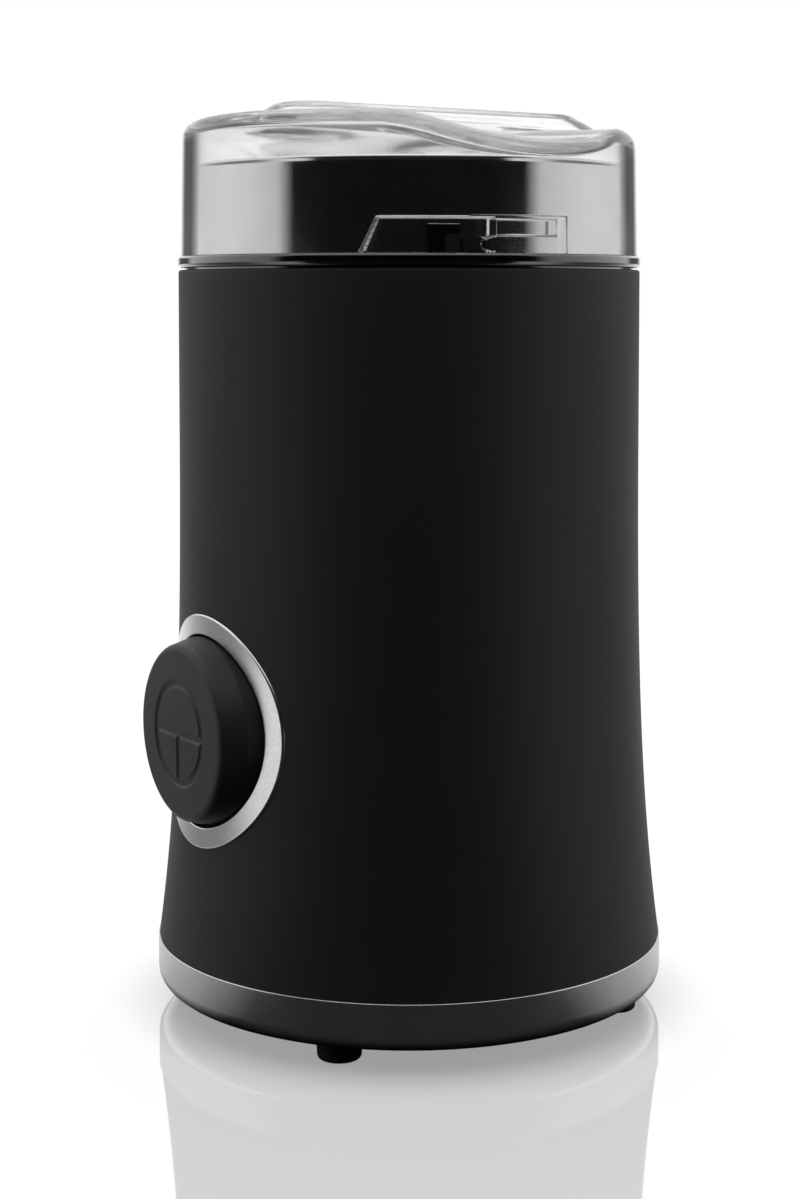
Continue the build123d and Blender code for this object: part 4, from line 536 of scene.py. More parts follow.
def smooth_low(first, second, blend):
    """Lower of two heights, with the crease between them rounded over a blend.

    The share of the first is a half more than half the difference / blend, held to 0 and 1. The
    heights are mixed by it and blend * share * (1 - share) is taken off.
    """
    share = np.clip(0.5 + 0.5 * (second - first) / blend, 0, 1)
    return second * (1 - share) + first * share - blend * share * (1 - share)


def smooth_high(first, second, blend):
    """Higher of two heights, with the crease between them rounded over a blend."""
    return -smooth_low(-first, -second, blend)


def grip_distance(x, y, grow, lid):
    """Distance outside the grip's long rounded crest, grown by a margin; negative inside it.

    It is the distance to the crest's middle line, less half the crest's width and the margin.
    """
    half = lid.grip_width / 2
    level = np.clip(y, half - lid.grip_front, lid.grip_back - half)
    return np.hypot(x, y - level) - half - grow


def lid_height(x, y, lid, drop, narrow):
    """Height of the lid's top: a falling plane, hollowed by two balls, with the grip over it.

    The grip is level inside its crest and falls outside it along a hyperbola to an even slope.
    """
    top = LID_LOW.z + lid.middle - y * math.tan(lid.slope) - drop
    for side in (-1, 1):
        bearing = side * lid.hollow_bearing
        away = np.hypot(
            x - lid.hollow_reach * math.sin(bearing), y + lid.hollow_reach * math.cos(bearing)
        )
        ball = lid.hollow + drop
        sag = np.sqrt(np.maximum(ball**2 - away**2, 0))
        top = smooth_low(top, LID_LOW.z + lid.hollow_floor + lid.hollow - sag, lid.hollow_blend)
    crest = LID_LOW.z + lid.middle + lid.grip_rise - drop
    away = np.maximum(grip_distance(x, y, -narrow, lid), 0)
    flank = crest - math.tan(lid.grip_fall) * (np.hypot(away, lid.grip_edge) - lid.grip_edge)
    return smooth_high(top, flank, lid.grip_root)


def grip_radius(bearing, grow, lid):
    """Radius along each bearing that meets the grown crest's outline, by halving the interval."""
    near = np.zeros_like(bearing)
    far = np.full_like(bearing, lid.grip_back * GRIP_SEARCH)
    ground = direction(bearing)
    for _ in range(HALVINGS):
        middle = (near + far) / 2
        inside = grip_distance(middle * ground[:, 0], middle * ground[:, 1], grow, lid) < 0
        near = np.where(inside, middle, near)
        far = np.where(inside, far, middle)
    return near


def sunk(distance, depth, softness):
    """Depth of a sunk shape from the distance outside its outline, with softened edges.

    The share is a half less distance / softness, held to 0 and 1, and the depth goes with three
    times its square less twice its cube.
    """
    share = np.clip(0.5 - distance / softness, 0, 1)
    return depth * share * share * (3 - 2 * share)


def lock_depth(bearing, height, lid):
    """Depth of the lock pockets in the lid's inner wall, from distances on the unrolled wall.

    A pocket is a tall entry with one sloped end, less a long round stop, beside a shallower level
    slot, and a faint flat field lies behind both. The deepest of the three counts.
    """
    radius = LID_HIGH.x - lid.wall
    along = radius * (np.mod(bearing, np.pi) - lid.lock_start)
    up = height - LID_LOW.z
    entry = radius * (lid.lock_entry - lid.lock_start)
    slot = radius * (lid.lock_end - lid.lock_start)
    lean = lid.lock_run / lid.lock_height
    left = (-lean * (lid.lock_height - up) - along) / math.hypot(1, lean)
    stop = np.hypot((along - entry) * lid.nose / lid.nose_reach, up - lid.slot_low / 2) - lid.nose
    tall = np.maximum.reduce([left, along - entry, up - lid.lock_height, -stop])
    level = np.maximum.reduce([-along, along - slot, lid.slot_low - up, up - lid.slot_high])
    begin = radius * (lid.field_start - lid.lock_start)
    finish = radius * (lid.field_end - lid.lock_start)
    field = np.maximum.reduce([begin - along, along - finish, up - lid.field_height])
    shapes = ((tall, lid.lock_depth), (level, lid.slot_depth), (field, lid.field_depth))
    return np.maximum.reduce([sunk(*shape, lid.lock_edge) for shape in shapes])


def lid_sheet(bearing, lid, wall, drop, narrow, rim, low, locked):
    """One skin of the lid, from its middle over the grip and rim down to its foot.

    Rows follow the grip's outline, then the crown, then a quarter circle round the rim, where the
    height falls by rim - sqrt(rim^2 - inset^2), then the wall, which widens a little downwards.
    """
    ground = direction(bearing)
    foot = LID_HIGH.x - wall
    top = foot - lid.draft
    edge = top - rim
    rings = np.stack([grip_radius(bearing, margin - narrow, lid) for margin in GRIP_MARGINS])
    rings = np.minimum(rings, edge - FIT * np.arange(len(rings), 0, -1)[:, None])
    middle = rings[:1] * np.linspace(0, 1, MIDDLE_ROWS, endpoint=False)[:, None]
    crown = rings[-1:] + (edge - rings[-1:]) * np.linspace(0, 1, CROWN_ROWS + 1)[1:, None]
    bend = np.linspace(0, np.pi / 2, RIM_ROWS + 1)[1:, None]
    around = np.broadcast_to(edge + rim * np.sin(bend), (RIM_ROWS, len(bearing)))
    radius = np.concatenate([middle, rings, crown, around])
    x, y = radius * ground[:, 0], radius * ground[:, 1]
    height = lid_height(x, y, lid, drop, narrow)
    height[-RIM_ROWS:] -= rim * (1 - np.cos(bend))
    if locked:
        share = np.linspace(0, 1, UPPER_ROWS + 1)[1:, None]
        join = low + lid.lock_height + LOCK_MARGIN
        upper = height[-1:] + (join - height[-1:]) * share
        lower = np.linspace(join, low, LOCK_ROWS + 1)[1:, None]
        drop_rows = np.concatenate([upper, np.broadcast_to(lower, (LOCK_ROWS, len(bearing)))])
    else:
        share = np.linspace(0, 1, SIDE_ROWS + 1)[1:, None]
        drop_rows = height[-1:] + (low - height[-1:]) * share
    widening = lid.draft * (height[-1:] - drop_rows) / np.maximum(height[-1:] - low, MM)
    side = top + widening
    if locked:
        side = side + lock_depth(np.broadcast_to(bearing, drop_rows.shape), drop_rows, lid)
    return placed(bearing, np.concatenate([radius, side]), np.concatenate([height, drop_rows]))


def lid_sheets(lid):
    """Outer and inner skins of the lid on shared bearings, joined round the foot."""
    half = np.concatenate([LOCK_BEARINGS, PLAIN_BEARINGS])
    bearing = np.concatenate([half, half + np.pi])
    low = LID_LOW.z + LID_LIFT
    outer = lid_sheet(bearing, lid, 0.0, 0.0, 0.0, lid.rim, low, False)
    narrow = lid.crown * math.tan(lid.grip_fall / 2)
    inner = lid_sheet(bearing, lid, lid.wall, lid.crown, narrow, lid.inner_rim, low, True)
    return [sheet(outer), sheet(inner), sheet(np.stack([outer[-1], inner[-1]]))]


def sign_depth(x, up, button):
    """Depth of the engraved sign: a ring, a level bar and a bar from its middle downwards."""
    half = button.line / 2
    reach = button.sign - half
    ring = np.abs(np.hypot(x, up) - reach) - half
    level = np.maximum(np.abs(up) - half, np.abs(x) - reach)
    down = np.maximum(np.abs(x) - half, np.abs(up + reach / 2) - reach / 2)
    distance = np.minimum(np.minimum(ring, level), down)
    return sunk(distance, button.depth, SIGN_SOFTNESS)


def cap_sheet(button):
    """Button turned about its level axis, its face lowered along the engraved sign.

    The face falls from its peak with the square of the distance from the axis.
    """
    peak = -CAP_LOW.y
    face = peak - button.dome
    shoulder = face - button.taper
    skirt = shoulder - button.skirt
    back = face - button.wall
    stem_end = -CAP_HIGH.y
    neck = stem_end + button.neck_length
    outer = CAP_HIGH.x
    rest = rounded(
        (0, peak, 0),
        (button.face, face, button.edge),
        (outer, shoulder, button.shoulder),
        (outer, skirt, SMALL_ROUND),
        (outer - button.wall, skirt, SMALL_ROUND),
        (outer - button.wall, shoulder, 0),
        (button.face - button.wall, back, 0),
        (button.stem, back, 0),
        (button.stem, neck, 0),
        (button.neck, neck, 0),
        (button.neck, stem_end, 0),
        (0, stem_end, 0),
    )[1:-1].reshape(-1, 2)
    radius = rest[0, 0] * FACE_SHARES
    face_rows = np.stack([radius, peak + (rest[0, 1] - peak) * FACE_SHARES**2], axis=-1)
    outline = np.concatenate([face_rows, rest, [[0, stem_end]]])
    grid = spun_forward(outline, CAP_COLUMNS, BUTTON_Z, -1)
    rows = len(face_rows)
    grid[:rows, :, 1] += sign_depth(grid[:rows, :, 0], grid[:rows, :, 2] - BUTTON_Z, button)
    return sheet(grid)


def spring_sheet(button):
    """Return spring: a round wire carried along a helix about the button's axis, its ends closed.

    The wire's circle is spanned by the way out from the axis and the way square to that and to
    the helix.
    """
    low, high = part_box("button_spring")
    wire = button.spring_wire / 2
    radius = high.x - wire
    turn = np.linspace(0, 2 * np.pi * button.spring_turns, SPRING_STEPS)
    along = np.linspace(high.y - button.spring_wire, low.y + button.spring_wire, len(turn))
    outward = np.stack([np.cos(turn), np.zeros_like(turn), np.sin(turn)], axis=-1)
    middle = radius * outward + np.array([0, 0, BUTTON_Z])
    middle[:, 1] = along
    forward = np.gradient(middle, axis=0)
    forward /= np.linalg.norm(forward, axis=1, keepdims=True)
    around = np.linspace(0, 2 * np.pi, WIRE_SIDES, endpoint=False)[None, :, None]
    ring = np.cos(around) * outward[:, None] + np.sin(around) * np.cross(forward, outward)[:, None]
    return sheet(capped(middle[:, None] + wire * ring))


def ring_sheet(sizes, button):
    """Button ring: a rounded section carried round the button's axis along the body's skin.

    A point stands its height over the skin outwards: y = -sqrt((skin + height)^2 - x^2).
    """
    section = outlined(
        (button.ring, -button.ring_seat, 0),
        (button.ring, button.ring_proud, button.ring_edge),
        (button.bore, button.ring_proud, button.ring_edge),
        (button.bore, -button.ring_seat, 0),
    )
    turn = np.linspace(0, 2 * np.pi, BEZEL_COLUMNS, endpoint=False)
    radius, proud = section[:, None, 0], section[:, None, 1]
    x = radius * np.cos(turn)
    height = BUTTON_Z + radius * np.sin(turn)
    reach = body_radius(height, sizes) + proud
    y = -np.sqrt(reach**2 - x**2)
    return sheet(np.stack([x, y, height], axis=-1), loop_rows=True)


def collar_sheets(body, collar):
    """Collar section turned once about Z, its bore cut back at the rod's slot, with two lugs."""
    top = LID_LOW.z
    band = body.top_radius + collar.proud
    foot = body.top_radius - collar.foot_inset
    skirt = body.top_radius - body.wall - FIT
    seat = BODY_HIGH.z
    outline = outlined(
        (collar.bore, top, SMALL_ROUND),
        (band, top, collar.edge),
        (band, seat + collar.gap, collar.edge),
        (foot, seat + collar.gap, 0),
        (foot, seat, 0),
        (skirt, seat, 0),
        (skirt, seat - collar.skirt, 0),
        (collar.throat, seat - collar.skirt, 0),
        (collar.throat, top - collar.step, 0),
        (collar.bore, top - collar.step, 0),
    )
    half = collar.slot_half / collar.bore
    cut = collar.slot_bearing + np.array([-half - SLOT_EDGE, -half, half, half + SLOT_EDGE])
    around = np.radians(np.arange(-180, 180, COLUMN_STEP))
    clear = np.abs(around - collar.slot_bearing) > half + SLOT_CLEAR
    around = np.sort(np.concatenate([around[clear], cut]))
    in_slot = np.abs(around - collar.slot_bearing) < half + SLOT_EDGE / 2
    in_bore = outline[:, :1] < collar.bore + BORE_MARGIN
    radius = np.where(in_slot & in_bore, collar.slot_reach, outline[:, :1])
    sheets = [sheet(placed(around, radius, outline[:, 1:]), loop_rows=True)]
    for turn in (0, np.pi):
        start = collar.lug_bearing + turn
        end = start + collar.lug_span
        root = (top - collar.lug_root, start, end, 0.0)
        nose_start = start + collar.lug_span * NOSE_LEAD
        nose = (top + collar.lug_low, nose_start, end + collar.lug_nose, NOSE_INSET)
        for low, first, last, inset in (root, nose):
            outer, inner = collar.lug_outer - inset, collar.lug_inner + inset
            section = outlined(
                (outer, low, LUG_ROUND),
                (outer, COLLAR_TOP - inset, LUG_ROUND),
                (inner, COLLAR_TOP - inset, LUG_ROUND),
                (inner, low, LUG_ROUND),
            )
            sheets.append(sheet(swept(section, np.linspace(first, last, LUG_STEPS))))
    return sheets


def bowl_sheet(collar):
    """Bowl section turned once about Z: floor, corner, wall and a round bead on the rim."""
    outer = BOWL_HIGH.x - max(0.0, collar.bowl_bead - collar.bowl_sheet / 2)
    inner = outer - collar.bowl_sheet
    rim = BOWL_HIGH.z - collar.bowl_bead
    floor = BOWL_LOW.z
    corner = collar.bowl_corner
    blocks = rounded(
        (collar.bowl_bore, floor, 0),
        (outer, floor, corner),
        (outer, rim - collar.bowl_bead, 0),
        (inner, rim - collar.bowl_bead, 0),
        (inner, floor + collar.bowl_sheet, corner - collar.bowl_sheet),
        (collar.bowl_bore, floor + collar.bowl_sheet, 0),
    )
    turned = np.stack([np.cos(BEAD_BEND), np.sin(BEAD_BEND)], axis=-1)
    bead = np.array([(outer + inner) / 2, rim]) + collar.bowl_bead * turned
    heights = np.linspace(floor + BOWL_WALL_START, rim - BEAD_DROP, BOWL_ROWS)
    wall_up = np.stack([np.full_like(heights, outer), heights], axis=-1)
    wall_down = np.stack([np.full_like(heights, inner), heights[::-1]], axis=-1)
    outline = np.concatenate([blocks[0], blocks[1], wall_up, bead, wall_down, blocks[4], blocks[5]])
    return sheet(spun(outline, BOWL_COLUMNS), loop_rows=True)


def gland_sheet(sizes):
    """Grommet section turned about the rear axis: a collar each side of a neck."""
    back, front = GLAND_LOW.y, GLAND_HIGH.y
    outer, bore, neck = GLAND_HIGH.x, sizes.gland_bore, sizes.gland_neck
    flange = sizes.gland_flange - sizes.gland_fit
    inner_edge, outer_edge, mouth = GLAND_ROUNDS
    outline = outlined(
        (bore, back, SMALL_ROUND),
        (outer, back, SMALL_ROUND),
        (outer, back + flange, SMALL_ROUND),
        (neck, back + flange, 0),
        (neck, front - flange, 0),
        (outer, front - flange, inner_edge),
        (outer, front, outer_edge),
        (bore, front, mouth),
    )
    return sheet(spun_forward(outline, GLAND_COLUMNS, GLAND_Z, 1), loop_rows=True)


def trim_sheet(sizes):
    """Trim ring's section turned once about Z: a wall with a ledge inside its top."""
    low, high = RING_LOW.z, RING_HIGH.z
    outer = RING_HIGH.x
    inner = outer - sizes.ring_wall
    ledge = inner - sizes.ledge
    outline = outlined(
        (inner, low, 0),
        (outer, low, sizes.ring_round),
        (outer, high, sizes.ring_edge),
        (ledge, high, 0),
        (ledge, high - sizes.ledge_depth, 0),
        (inner, high - sizes.ledge_depth, 0),
    )
    return sheet(spun(outline, RING_COLUMNS), loop_rows=True)


def foot_sheet(name, sizes):
    """Push-in foot turned about its own axis: a tapered pad, a stud and a barb."""
    low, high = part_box(name)
    centre = (low + high) / 2
    radius = (high.x - low.x) / 2
    pad = RING_LOW.z + FOOT_RISE
    barb = high.z - BARB_HEIGHT
    outline = outlined(
        (0, low.z, 0),
        (radius - sizes.foot_draft, low.z, sizes.foot_edge),
        (radius, pad, SMALL_ROUND),
        (FOOT_STUD, pad, 0),
        (FOOT_STUD, barb, 0),
        (FOOT_BARB, barb, BARB_ROUND),
        (FOOT_TIP, high.z, TIP_ROUND),
        (0, high.z, 0),
    )[1:-1]
    grid = spun(outline, FOOT_COLUMNS)
    grid[..., :2] += np.array([centre.x, centre.y])
    return sheet(grid)


def finish_tree(name):
    """New material with its node tree and shader."""
    finish = bpy.data.materials.new(name + "_finish")
    finish.use_nodes = True
    tree = finish.node_tree
    return finish, tree, tree.nodes["Principled BSDF"]


def fill(tree, socket, value):
    """Links a socket to another one, or sets it to a plain value."""
    if isinstance(value, bpy.types.NodeSocket):
        tree.links.new(value, socket)
    else:
        socket.default_value = value


def add(tree, kind, **values):
    """New shader node with its inputs filled; an underscore in a name stands for a space."""
    node = tree.nodes.new("ShaderNode" + kind)
    for name, value in values.items():
        fill(tree, node.inputs[name.replace("_", " ")], value)
    return node


def pattern(tree, scale, detail=3.0, stretch=(1, 1, 1)):
    """Noise on Object coordinates; stretch squeezes it along axes, for drawn or rolled grain."""
    place = add(tree, "TexCoord").outputs["Object"]
    mapped = add(tree, "Mapping", Vector=place, Scale=stretch).outputs["Vector"]
    return add(tree, "TexNoise", Vector=mapped, Scale=scale, Detail=detail).outputs["Fac"]


def ranged(tree, value, low, high, bottom, top, rise="LINEAR"):
    """Value carried from low and high to bottom and top."""
    step = add(
        tree, "MapRange", Value=value, From_Min=low, From_Max=high, To_Min=bottom, To_Max=top
    )
    step.interpolation_type = rise
    return step.outputs["Result"]


def tint(tree, shader, value, dark, light):
    """Base colour that goes from dark to light with a value."""
    ramp = add(tree, "ValToRGB", Fac=value)
    for stop, place, shade in zip(ramp.color_ramp.elements, NOISE_RANGE, (dark, light)):
        stop.position = place
        stop.color = (*shade, 1)
    tree.links.new(ramp.outputs["Color"], shader.inputs["Base Color"])


def relief(tree, shader, value, strength, distance):
    """Bump from a value, at a real depth in metres."""
    bump = add(tree, "Bump", Height=value, Strength=strength, Distance=distance)
    tree.links.new(bump.outputs["Normal"], shader.inputs["Normal"])


def make_finish(name, base, vary, mottle, grain, rough, depth, stretch=(1, 1, 1), **sockets):
    """Finish whose mottle varies its colour and whose grain varies its roughness and relief.

    Mottle and grain are noise scales, rough is a range of roughness and depth is in millimetres.
    """
    finish, tree, shader = finish_tree(name)
    base = np.array(base[:3], float)
    tint(tree, shader, pattern(tree, mottle), base * (1 - vary), base * (1 + vary))
    fine = pattern(tree, grain, detail=2.0, stretch=stretch)
    tree.links.new(ranged(tree, fine, *NOISE_RANGE, *rough), shader.inputs["Roughness"])
    if depth:
        relief(tree, shader, fine, GRAIN_STRENGTH, depth * MM)
    for socket, value in sockets.items():
        fill(tree, shader.inputs[socket.replace("_", " ")], value)
    return finish


def make_lined(name, dark, light, scale, rough, depth, metallic):
    """Finish with fine lines stacked along Z, for stacked sheets and wound wire; depth in mm."""
    finish, tree, shader = finish_tree(name)
    place = add(tree, "TexCoord").outputs["Object"]
    wave = add(tree, "TexWave", Vector=place, Scale=scale)
    wave.bands_direction = "Z"
    bands = wave.outputs["Fac"]
    tint(tree, shader, bands, dark, light)
    grain = ranged(tree, pattern(tree, WIRE_GRAIN), *NOISE_RANGE, *rough)
    tree.links.new(grain, shader.inputs["Roughness"])
    relief(tree, shader, bands, LINE_STRENGTH, depth * MM)
    fill(tree, shader.inputs["Metallic"], metallic)
    return finish


def finishes():
    """All finishes by the record's slot names, made once."""
    if FINISHES:
        return FINISHES
    look = bpy.context.scene.grinder_finish
    metal = {"Metallic": 1.0}
    metal_z6, metal_z8 = ({"stretch": (1, 1, squeeze), **metal} for squeeze in (6, 8))
    soft, satin = ({"Specular_IOR_Level": level} for level in (0.38, 0.5))
    gloss = {"Coat_Weight": 1.0, "Specular_IOR_Level": 0.9}
    clear = {"Transmission_Weight": 1.0, "IOR": 1.5}
    plain = (
        ("soft_black", look.body, 0.10, 60, 2600, (0.54, 0.62), 0.01, soft),
        ("button_black", look.button, 0.10, 80, 3200, (0.46, 0.54), 0.01, satin),
        ("gloss_black", look.gloss, 0.10, 90, 500, (0.05, 0.08), 0, gloss),
        ("silver_trim", look.silver, 0.03, 120, 1500, (0.20, 0.27), 0.004, metal),
        ("polished_steel", look.steel, 0.03, 150, 700, (0.05, 0.09), 0.002, metal_z8),
        ("clear_lid", look.clear, 0.01, 90, 160, (0.05, 0.09), 0, clear),
        ("black_rubber", look.rubber, 0.15, 200, 2200, (0.62, 0.78), 0.02, {}),
        ("machined_steel", (0.56, 0.56, 0.57), 0.06, 200, 1800, (0.24, 0.36), 0.004, metal_z6),
        ("bronze", (0.55, 0.40, 0.18), 0.12, 300, 2500, (0.35, 0.5), 0.02, metal),
        ("carbon", (0.045, 0.045, 0.047), 0.15, 300, 3000, (0.5, 0.65), 0.02, {}),
        ("inner_plastic", (0.016, 0.016, 0.017), 0.10, 120, 1800, (0.42, 0.55), 0.03, {}),
        ("pale_plastic", (0.72, 0.70, 0.65), 0.05, 120, 1800, (0.4, 0.5), 0.02, {}),
        ("lead_sleeve", (0.35, 0.03, 0.025), 0.10, 200, 900, (0.35, 0.45), 0.02, {}),
    )
    lined = (
        ("lamination_steel", (0.10, 0.10, 0.11), (0.24, 0.24, 0.25), 1000, (0.38, 0.5), 0.08, 0.9),
        ("copper", (0.42, 0.15, 0.05), (0.80, 0.38, 0.17), 800, (0.22, 0.34), 0.12, 1.0),
    )
    made = [make_finish(*row, **sockets) for *row, sockets in plain]
    made += [make_lined(*row) for row in lined]
    FINISHES.update((finish.name.removesuffix("_finish"), finish) for finish in made)
    return FINISHES


class GRINDER_OT_solids(bpy.types.Operator):
    """Gives every carried-over solid its finish"""

    bl_idname = "grinder.solids"
    bl_label = "Inner solids"

    def execute(self, context):
        looks = finishes()
        for part in frame["record"]["subparts"]:
            node = frame["nodes"].get(part["node"])
            if node is None:
                raise RuntimeError("no solid for " + part["node"])
            node.data.materials.clear()
            slot = DARK_NODES.get(part["node"], part["material_slot"])
            node.data.materials.append(looks[slot])
        return {"FINISHED"}


class GRINDER_OT_body(bpy.types.Operator):
    """Makes the soft-touch body with its openings for the button and the cord"""

    bl_idname = "grinder.body"
    bl_label = "Body"

    def execute(self, context):
        sheets = body_sheets(context.scene.grinder_body, context.scene.grinder_button)
        make_piece("body_skin", sheets, "housing", "body_shell", "soft_black")
        return {"FINISHED"}


class GRINDER_OT_base(bpy.types.Operator):
    """Makes the trim ring, the feet and the cord grommet"""

    bl_idname = "grinder.base"
    bl_label = "Base"

    def execute(self, context):
        sizes = context.scene.grinder_body
        make_piece("trim_ring", [trim_sheet(sizes)], "housing", "base_ring", "silver_trim")
        for number in range(1, 5):
            node = f"foot_{number}"
            foot = [foot_sheet(node, sizes)]
            make_piece(f"rubber_foot_{number}", foot, "housing", node, "black_rubber")
        make_piece("cord_grommet", [gland_sheet(sizes)], "housing", "cord_gland", "black_rubber")
        return {"FINISHED"}


class GRINDER_OT_collar(bpy.types.Operator):
    """Makes the gloss collar and the steel bowl"""

    bl_idname = "grinder.collar"
    bl_label = "Collar and bowl"

    def execute(self, context):
        collar = context.scene.grinder_collar
        sheets = collar_sheets(context.scene.grinder_body, collar)
        make_piece("gloss_collar", sheets, "housing", "top_collar", "gloss_black")
        bowl = [bowl_sheet(collar)]
        make_piece("steel_bowl", bowl, "housing", "grinding_bowl", "polished_steel")
        return {"FINISHED"}


class GRINDER_OT_button(bpy.types.Operator):
    """Makes the press button with its engraved sign, its silver ring and its return spring"""

    bl_idname = "grinder.button"
    bl_label = "Button"

    def execute(self, context):
        button = context.scene.grinder_button
        make_piece("press_button", [cap_sheet(button)], "button", "button_cap", "button_black")
        ring = [ring_sheet(context.scene.grinder_body, button)]
        make_piece("button_ring", ring, "housing", "button_bezel", "silver_trim")
        wound = [spring_sheet(button)]
        spring = make_piece("return_spring", wound, "housing", "button_spring", "machined_steel")
        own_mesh(spring)
        return {"FINISHED"}


class GRINDER_OT_lid(bpy.types.Operator):
    """Makes the clear lid with its grip, finger hollows and lock pockets"""

    bl_idname = "grinder.lid"
    bl_label = "Lid"

    def execute(self, context):
        sheets = lid_sheets(context.scene.grinder_lid)
        make_piece("clear_cover", sheets, "lid", "lid", "clear_lid", LID_SHARP)
        return {"FINISHED"}


class GRINDER_OT_stage(bpy.types.Operator):
    """Makes the pale floor, the soft studio surround, the lamp and the camera"""

    bl_idname = "grinder.stage"
    bl_label = "Stage"

    def execute(self, context):
        make_floor()
        make_surround(context.scene)
        make_lamp(context.scene)
        make_camera(context.scene)
        context.scene.view_settings.view_transform = "Standard"
        for kind in ("max", "glossy", "transmission"):
            setattr(context.scene.cycles, kind + "_bounces", LIGHT_TURNS)
        return {"FINISHED"}


def calc(tree, operation, *values, kind="Math", result="Value"):
    """Arithmetic on sockets and plain numbers."""
    node = add(tree, kind)
    node.operation = operation
    for socket, value in zip(node.inputs, values):
        fill(tree, socket, value)
    return node.outputs[result]


def level_along(tree, way, stops):
    """Brightness along a direction, by its agreement with the way to the backdrop.

    The agreement is half of one plus the dot product: 0 at the camera's side, 1 at the backdrop.
    """
    facing = calc(tree, "DOT_PRODUCT", way, BACKDROP, kind="VectorMath")
    ramp = add(tree, "ValToRGB", Fac=calc(tree, "MULTIPLY_ADD", facing, 0.5, 0.5))
    elements = ramp.color_ramp.elements
    for number, (place, level) in enumerate(stops):
        stop = elements[number] if number < 2 else elements.new(place)
        stop.position = place
        stop.color = (level, level, level, 1)
    return ramp.outputs["Color"]


def smooth_step(tree, value, limits):
    """Smooth rise or fall: limits are low, high and the results there."""
    return ranged(tree, value, *limits, "SMOOTHSTEP")


def mixed(tree, first, second, share):
    """Mix of two shaders by a share of the second."""
    mix = add(tree, "MixShader", Fac=share)
    tree.links.new(first.outputs[0], mix.inputs[1])
    tree.links.new(second.outputs[0], mix.inputs[2])
    return mix


def dimmed(tree, level, share, rest):
    """Level that a share of one brings down to a rest: level * (1 + share * (rest - 1))."""
    return calc(tree, "MULTIPLY", level, calc(tree, "MULTIPLY_ADD", share, rest - 1.0, 1.0))


def straight_through(tree, ray):
    """One for light that has passed through clear parts only, zero once it has been turned back."""
    bounces = calc(tree, "ADD", ray["Diffuse Depth"], ray["Glossy Depth"])
    unturned = calc(tree, "LESS_THAN", bounces, NEVER)
    return calc(tree, "MULTIPLY", ray["Is Transmission Ray"], unturned)


def make_floor():
    """Large white floor that mirrors the grinder faintly, less far off, and keeps its shadow: a
    real one in its matte share and a painted shadow round the grinder's foot, where its glow to the
    camera is dimmed. To reflections its glow is painted light, brighter towards the backdrop than
    towards the camera, with a painted shadow under the grinder.
    """
    mesh = bpy.data.meshes.new("floor")
    corners = [(x * FLOOR_HALF, y * FLOOR_HALF, 0) for x, y in ((-1, -1), (1, -1), (1, 1), (-1, 1))]
    mesh.from_pydata(corners, [], [(0, 1, 2, 3)])
    finish = bpy.data.materials.new("white_floor")
    finish.use_nodes = True
    tree = finish.node_tree
    tree.nodes.clear()
    place = add(tree, "TexCoord").outputs["Object"]
    outward = calc(tree, "NORMALIZE", place, kind="VectorMath", result="Vector")
    reach = calc(tree, "LENGTH", place, kind="VectorMath")
    # Painted light: the floor's glow to reflections, brighter towards the backdrop
    near = level_along(tree, outward, NEAR_LEVELS)
    far = level_along(tree, outward, FAR_LEVELS)
    share = smooth_step(tree, reach, FLOOR_FAR)
    level = calc(tree, "MULTIPLY_ADD", calc(tree, "SUBTRACT", far, near), share, near)
    # Painted shadow under the grinder in that glow
    level = calc(tree, "MULTIPLY", level, smooth_step(tree, reach, FLOOR_UNDER_PAINTED_SHADOW))
    bounce = add(tree, "Emission", Strength=level)
    matte = add(tree, "BsdfDiffuse", Color=WHITE)
    # Painted shadow: this glow is dimmed round the grinder's foot
    glow_with_painted_shadow = add(tree, "Emission", Strength=smooth_step(tree, reach, FLOOR_GLOW_PAINTED_SHADOW))
    mirror = add(tree, "BsdfGlossy", Color=WHITE, Roughness=MIRROR_ROUGHNESS)
    shadowed = mixed(tree, matte, glow_with_painted_shadow, GLOW_SHARE)
    seen = mixed(tree, shadowed, mirror, smooth_step(tree, reach, MIRROR_FADE))
    ray = add(tree, "LightPath").outputs
    shown = calc(tree, "MAXIMUM", ray["Is Camera Ray"], straight_through(tree, ray))
    add(tree, "OutputMaterial", Surface=mixed(tree, bounce, seen, shown).outputs[0])
    mesh.materials.append(finish)
    floor = bpy.data.objects.new("floor", mesh)
    bpy.context.scene.collection.objects.link(floor)


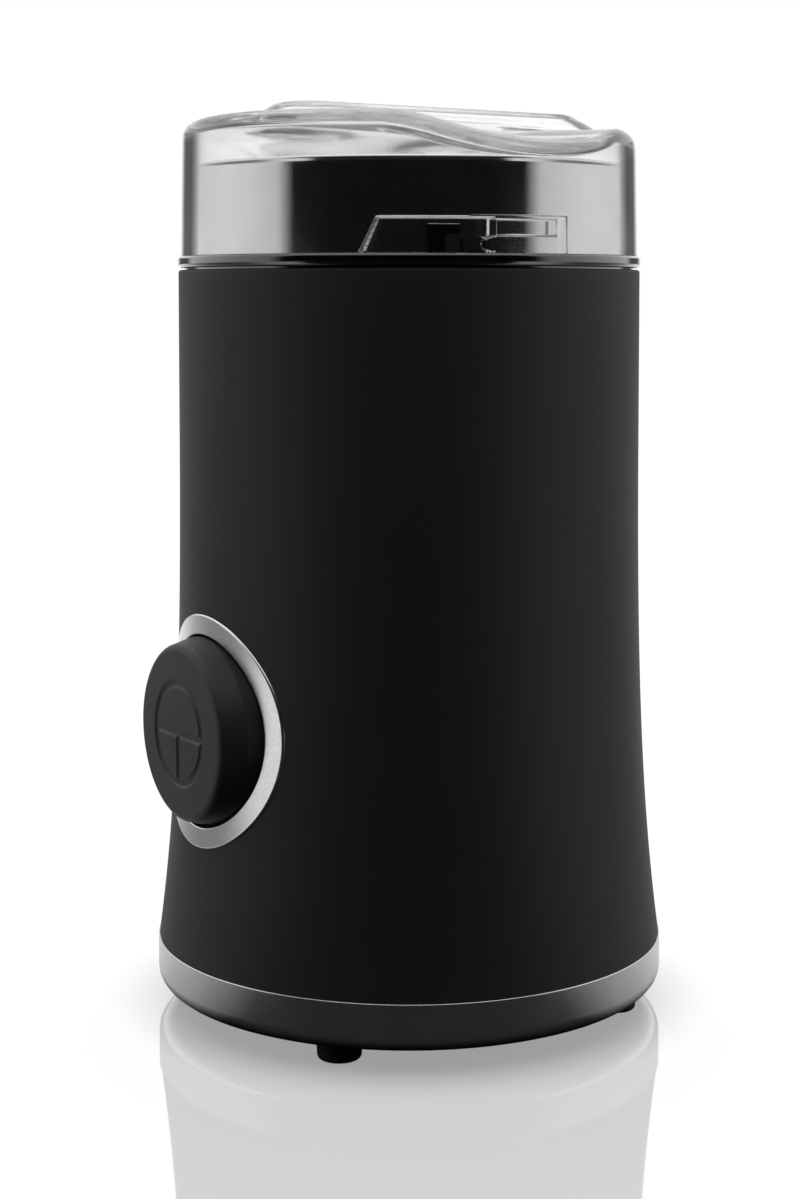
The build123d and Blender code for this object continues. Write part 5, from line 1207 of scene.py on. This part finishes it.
def make_surround(scene):
    """White to the camera; to the grinder a white backdrop, pale sides and a dark front.

    The clear lid shows the white, too. Light that is turned back inside the lid's wall, or mirrored
    twice, is nearly black, as in a studio whose white ends beside the picture. A dark strip on each
    side of the backdrop, near the level, draws the outlines of clear and glossy edges.
    """
    scene.world = bpy.data.worlds.new("studio")
    scene.world.use_nodes = True
    tree = scene.world.node_tree
    tree.nodes.clear()
    way = add(tree, "TexCoord").outputs["Generated"]
    height = add(tree, "SeparateXYZ", Vector=way).outputs["Z"]
    ray = add(tree, "LightPath").outputs
    passed = ray["Transmission Depth"]
    through = straight_through(tree, ray)
    inside = calc(tree, "SUBTRACT", ray["Is Transmission Ray"], through)
    outside = calc(tree, "LESS_THAN", passed, NEVER)
    trapped = calc(tree, "MULTIPLY", inside, calc(tree, "LESS_THAN", passed, TWICE))
    turned = calc(tree, "GREATER_THAN", ray["Glossy Depth"], ONCE)
    again = calc(tree, "MULTIPLY", outside, turned)
    near_level = smooth_step(tree, calc(tree, "ABSOLUTE", height), STRIP_HEIGHT)
    missing = calc(tree, "SUBTRACT", 1.0, level_along(tree, way, EDGE_LEVELS))
    strips = calc(tree, "MULTIPLY", calc(tree, "MULTIPLY", missing, near_level), outside)
    above = smooth_step(tree, height, CEILING)
    room = calc(tree, "MAXIMUM", level_along(tree, way, ROOM_LEVELS), above)
    for share, rest in ((trapped, TRAPPED_LEVEL), (again, AGAIN_LEVEL), (strips, 0.0)):
        room = dimmed(tree, room, share, rest)
    shown = calc(tree, "MAXIMUM", ray["Is Camera Ray"], through)
    light = add(tree, "Background", Color=WHITE, Strength=calc(tree, "MAXIMUM", room, shown))
    add(tree, "OutputWorld", Surface=light.outputs["Background"])


def make_lamp(scene):
    """One soft square lamp over the grinder."""
    data = bpy.data.lights.new("overhead", "AREA")
    data.size = LAMP_SIZE
    data.energy = LAMP_POWER
    lamp = bpy.data.objects.new("overhead", data)
    lamp.location = LAMP_PLACE
    lamp.rotation_euler = (LAMP_TARGET - LAMP_PLACE).to_track_quat("-Z", "Y").to_euler()
    scene.collection.objects.link(lamp)


def make_camera(scene):
    """Camera at the photograph's place, level across and tipped a little down."""
    data = bpy.data.cameras.new("camera")
    data.lens = CAMERA_LENS
    data.shift_x, data.shift_y = CAMERA_SHIFT
    data.clip_start, data.clip_end = CAMERA_CLIP
    camera = bpy.data.objects.new("camera", data)
    camera.location = placed(CAMERA_BEARING, CAMERA_DISTANCE, CAMERA_HEIGHT)
    camera.rotation_euler = (CAMERA_TILT, 0, CAMERA_BEARING)
    scene.collection.objects.link(camera)
    scene.camera = camera


class GRINDER_PT_panel(bpy.types.Panel):
    """Lists the grinder's makers and their settings"""

    bl_idname = "GRINDER_PT_panel"
    bl_label = "Coffee grinder"
    bl_space_type = "VIEW_3D"
    bl_region_type = "UI"
    bl_category = "Grinder"

    def draw(self, context):
        for operator in OPERATORS:
            self.layout.operator(operator.bl_idname)
        for name, group in GROUPS.items():
            box = self.layout.box()
            for setting in group.__annotations__:
                box.prop(getattr(context.scene, name), setting)


GROUPS = {
    "grinder_body": GrinderBody,
    "grinder_collar": GrinderCollar,
    "grinder_button": GrinderButton,
    "grinder_lid": GrinderLid,
    "grinder_finish": GrinderFinish,
}
OPERATORS = (
    GRINDER_OT_solids,
    GRINDER_OT_body,
    GRINDER_OT_base,
    GRINDER_OT_collar,
    GRINDER_OT_button,
    GRINDER_OT_lid,
    GRINDER_OT_stage,
)


def register():
    """Registers the classes and hangs the settings on the scene."""
    for item in (*GROUPS.values(), *OPERATORS, GRINDER_PT_panel):
        bpy.utils.register_class(item)
    for name, group in GROUPS.items():
        setattr(bpy.types.Scene, name, PointerProperty(type=group))


def unregister():
    """Takes the settings and classes away again."""
    for name in GROUPS:
        delattr(bpy.types.Scene, name)
    for item in reversed((*GROUPS.values(), *OPERATORS, GRINDER_PT_panel)):
        bpy.utils.unregister_class(item)


def main():
    """Builds the grinder and its stage."""
    register()
    bpy.ops.grinder.solids()
    bpy.ops.grinder.body()
    bpy.ops.grinder.base()
    bpy.ops.grinder.collar()
    bpy.ops.grinder.button()
    bpy.ops.grinder.lid()
    bpy.ops.grinder.stage()


if __name__ == "__main__":
    main()
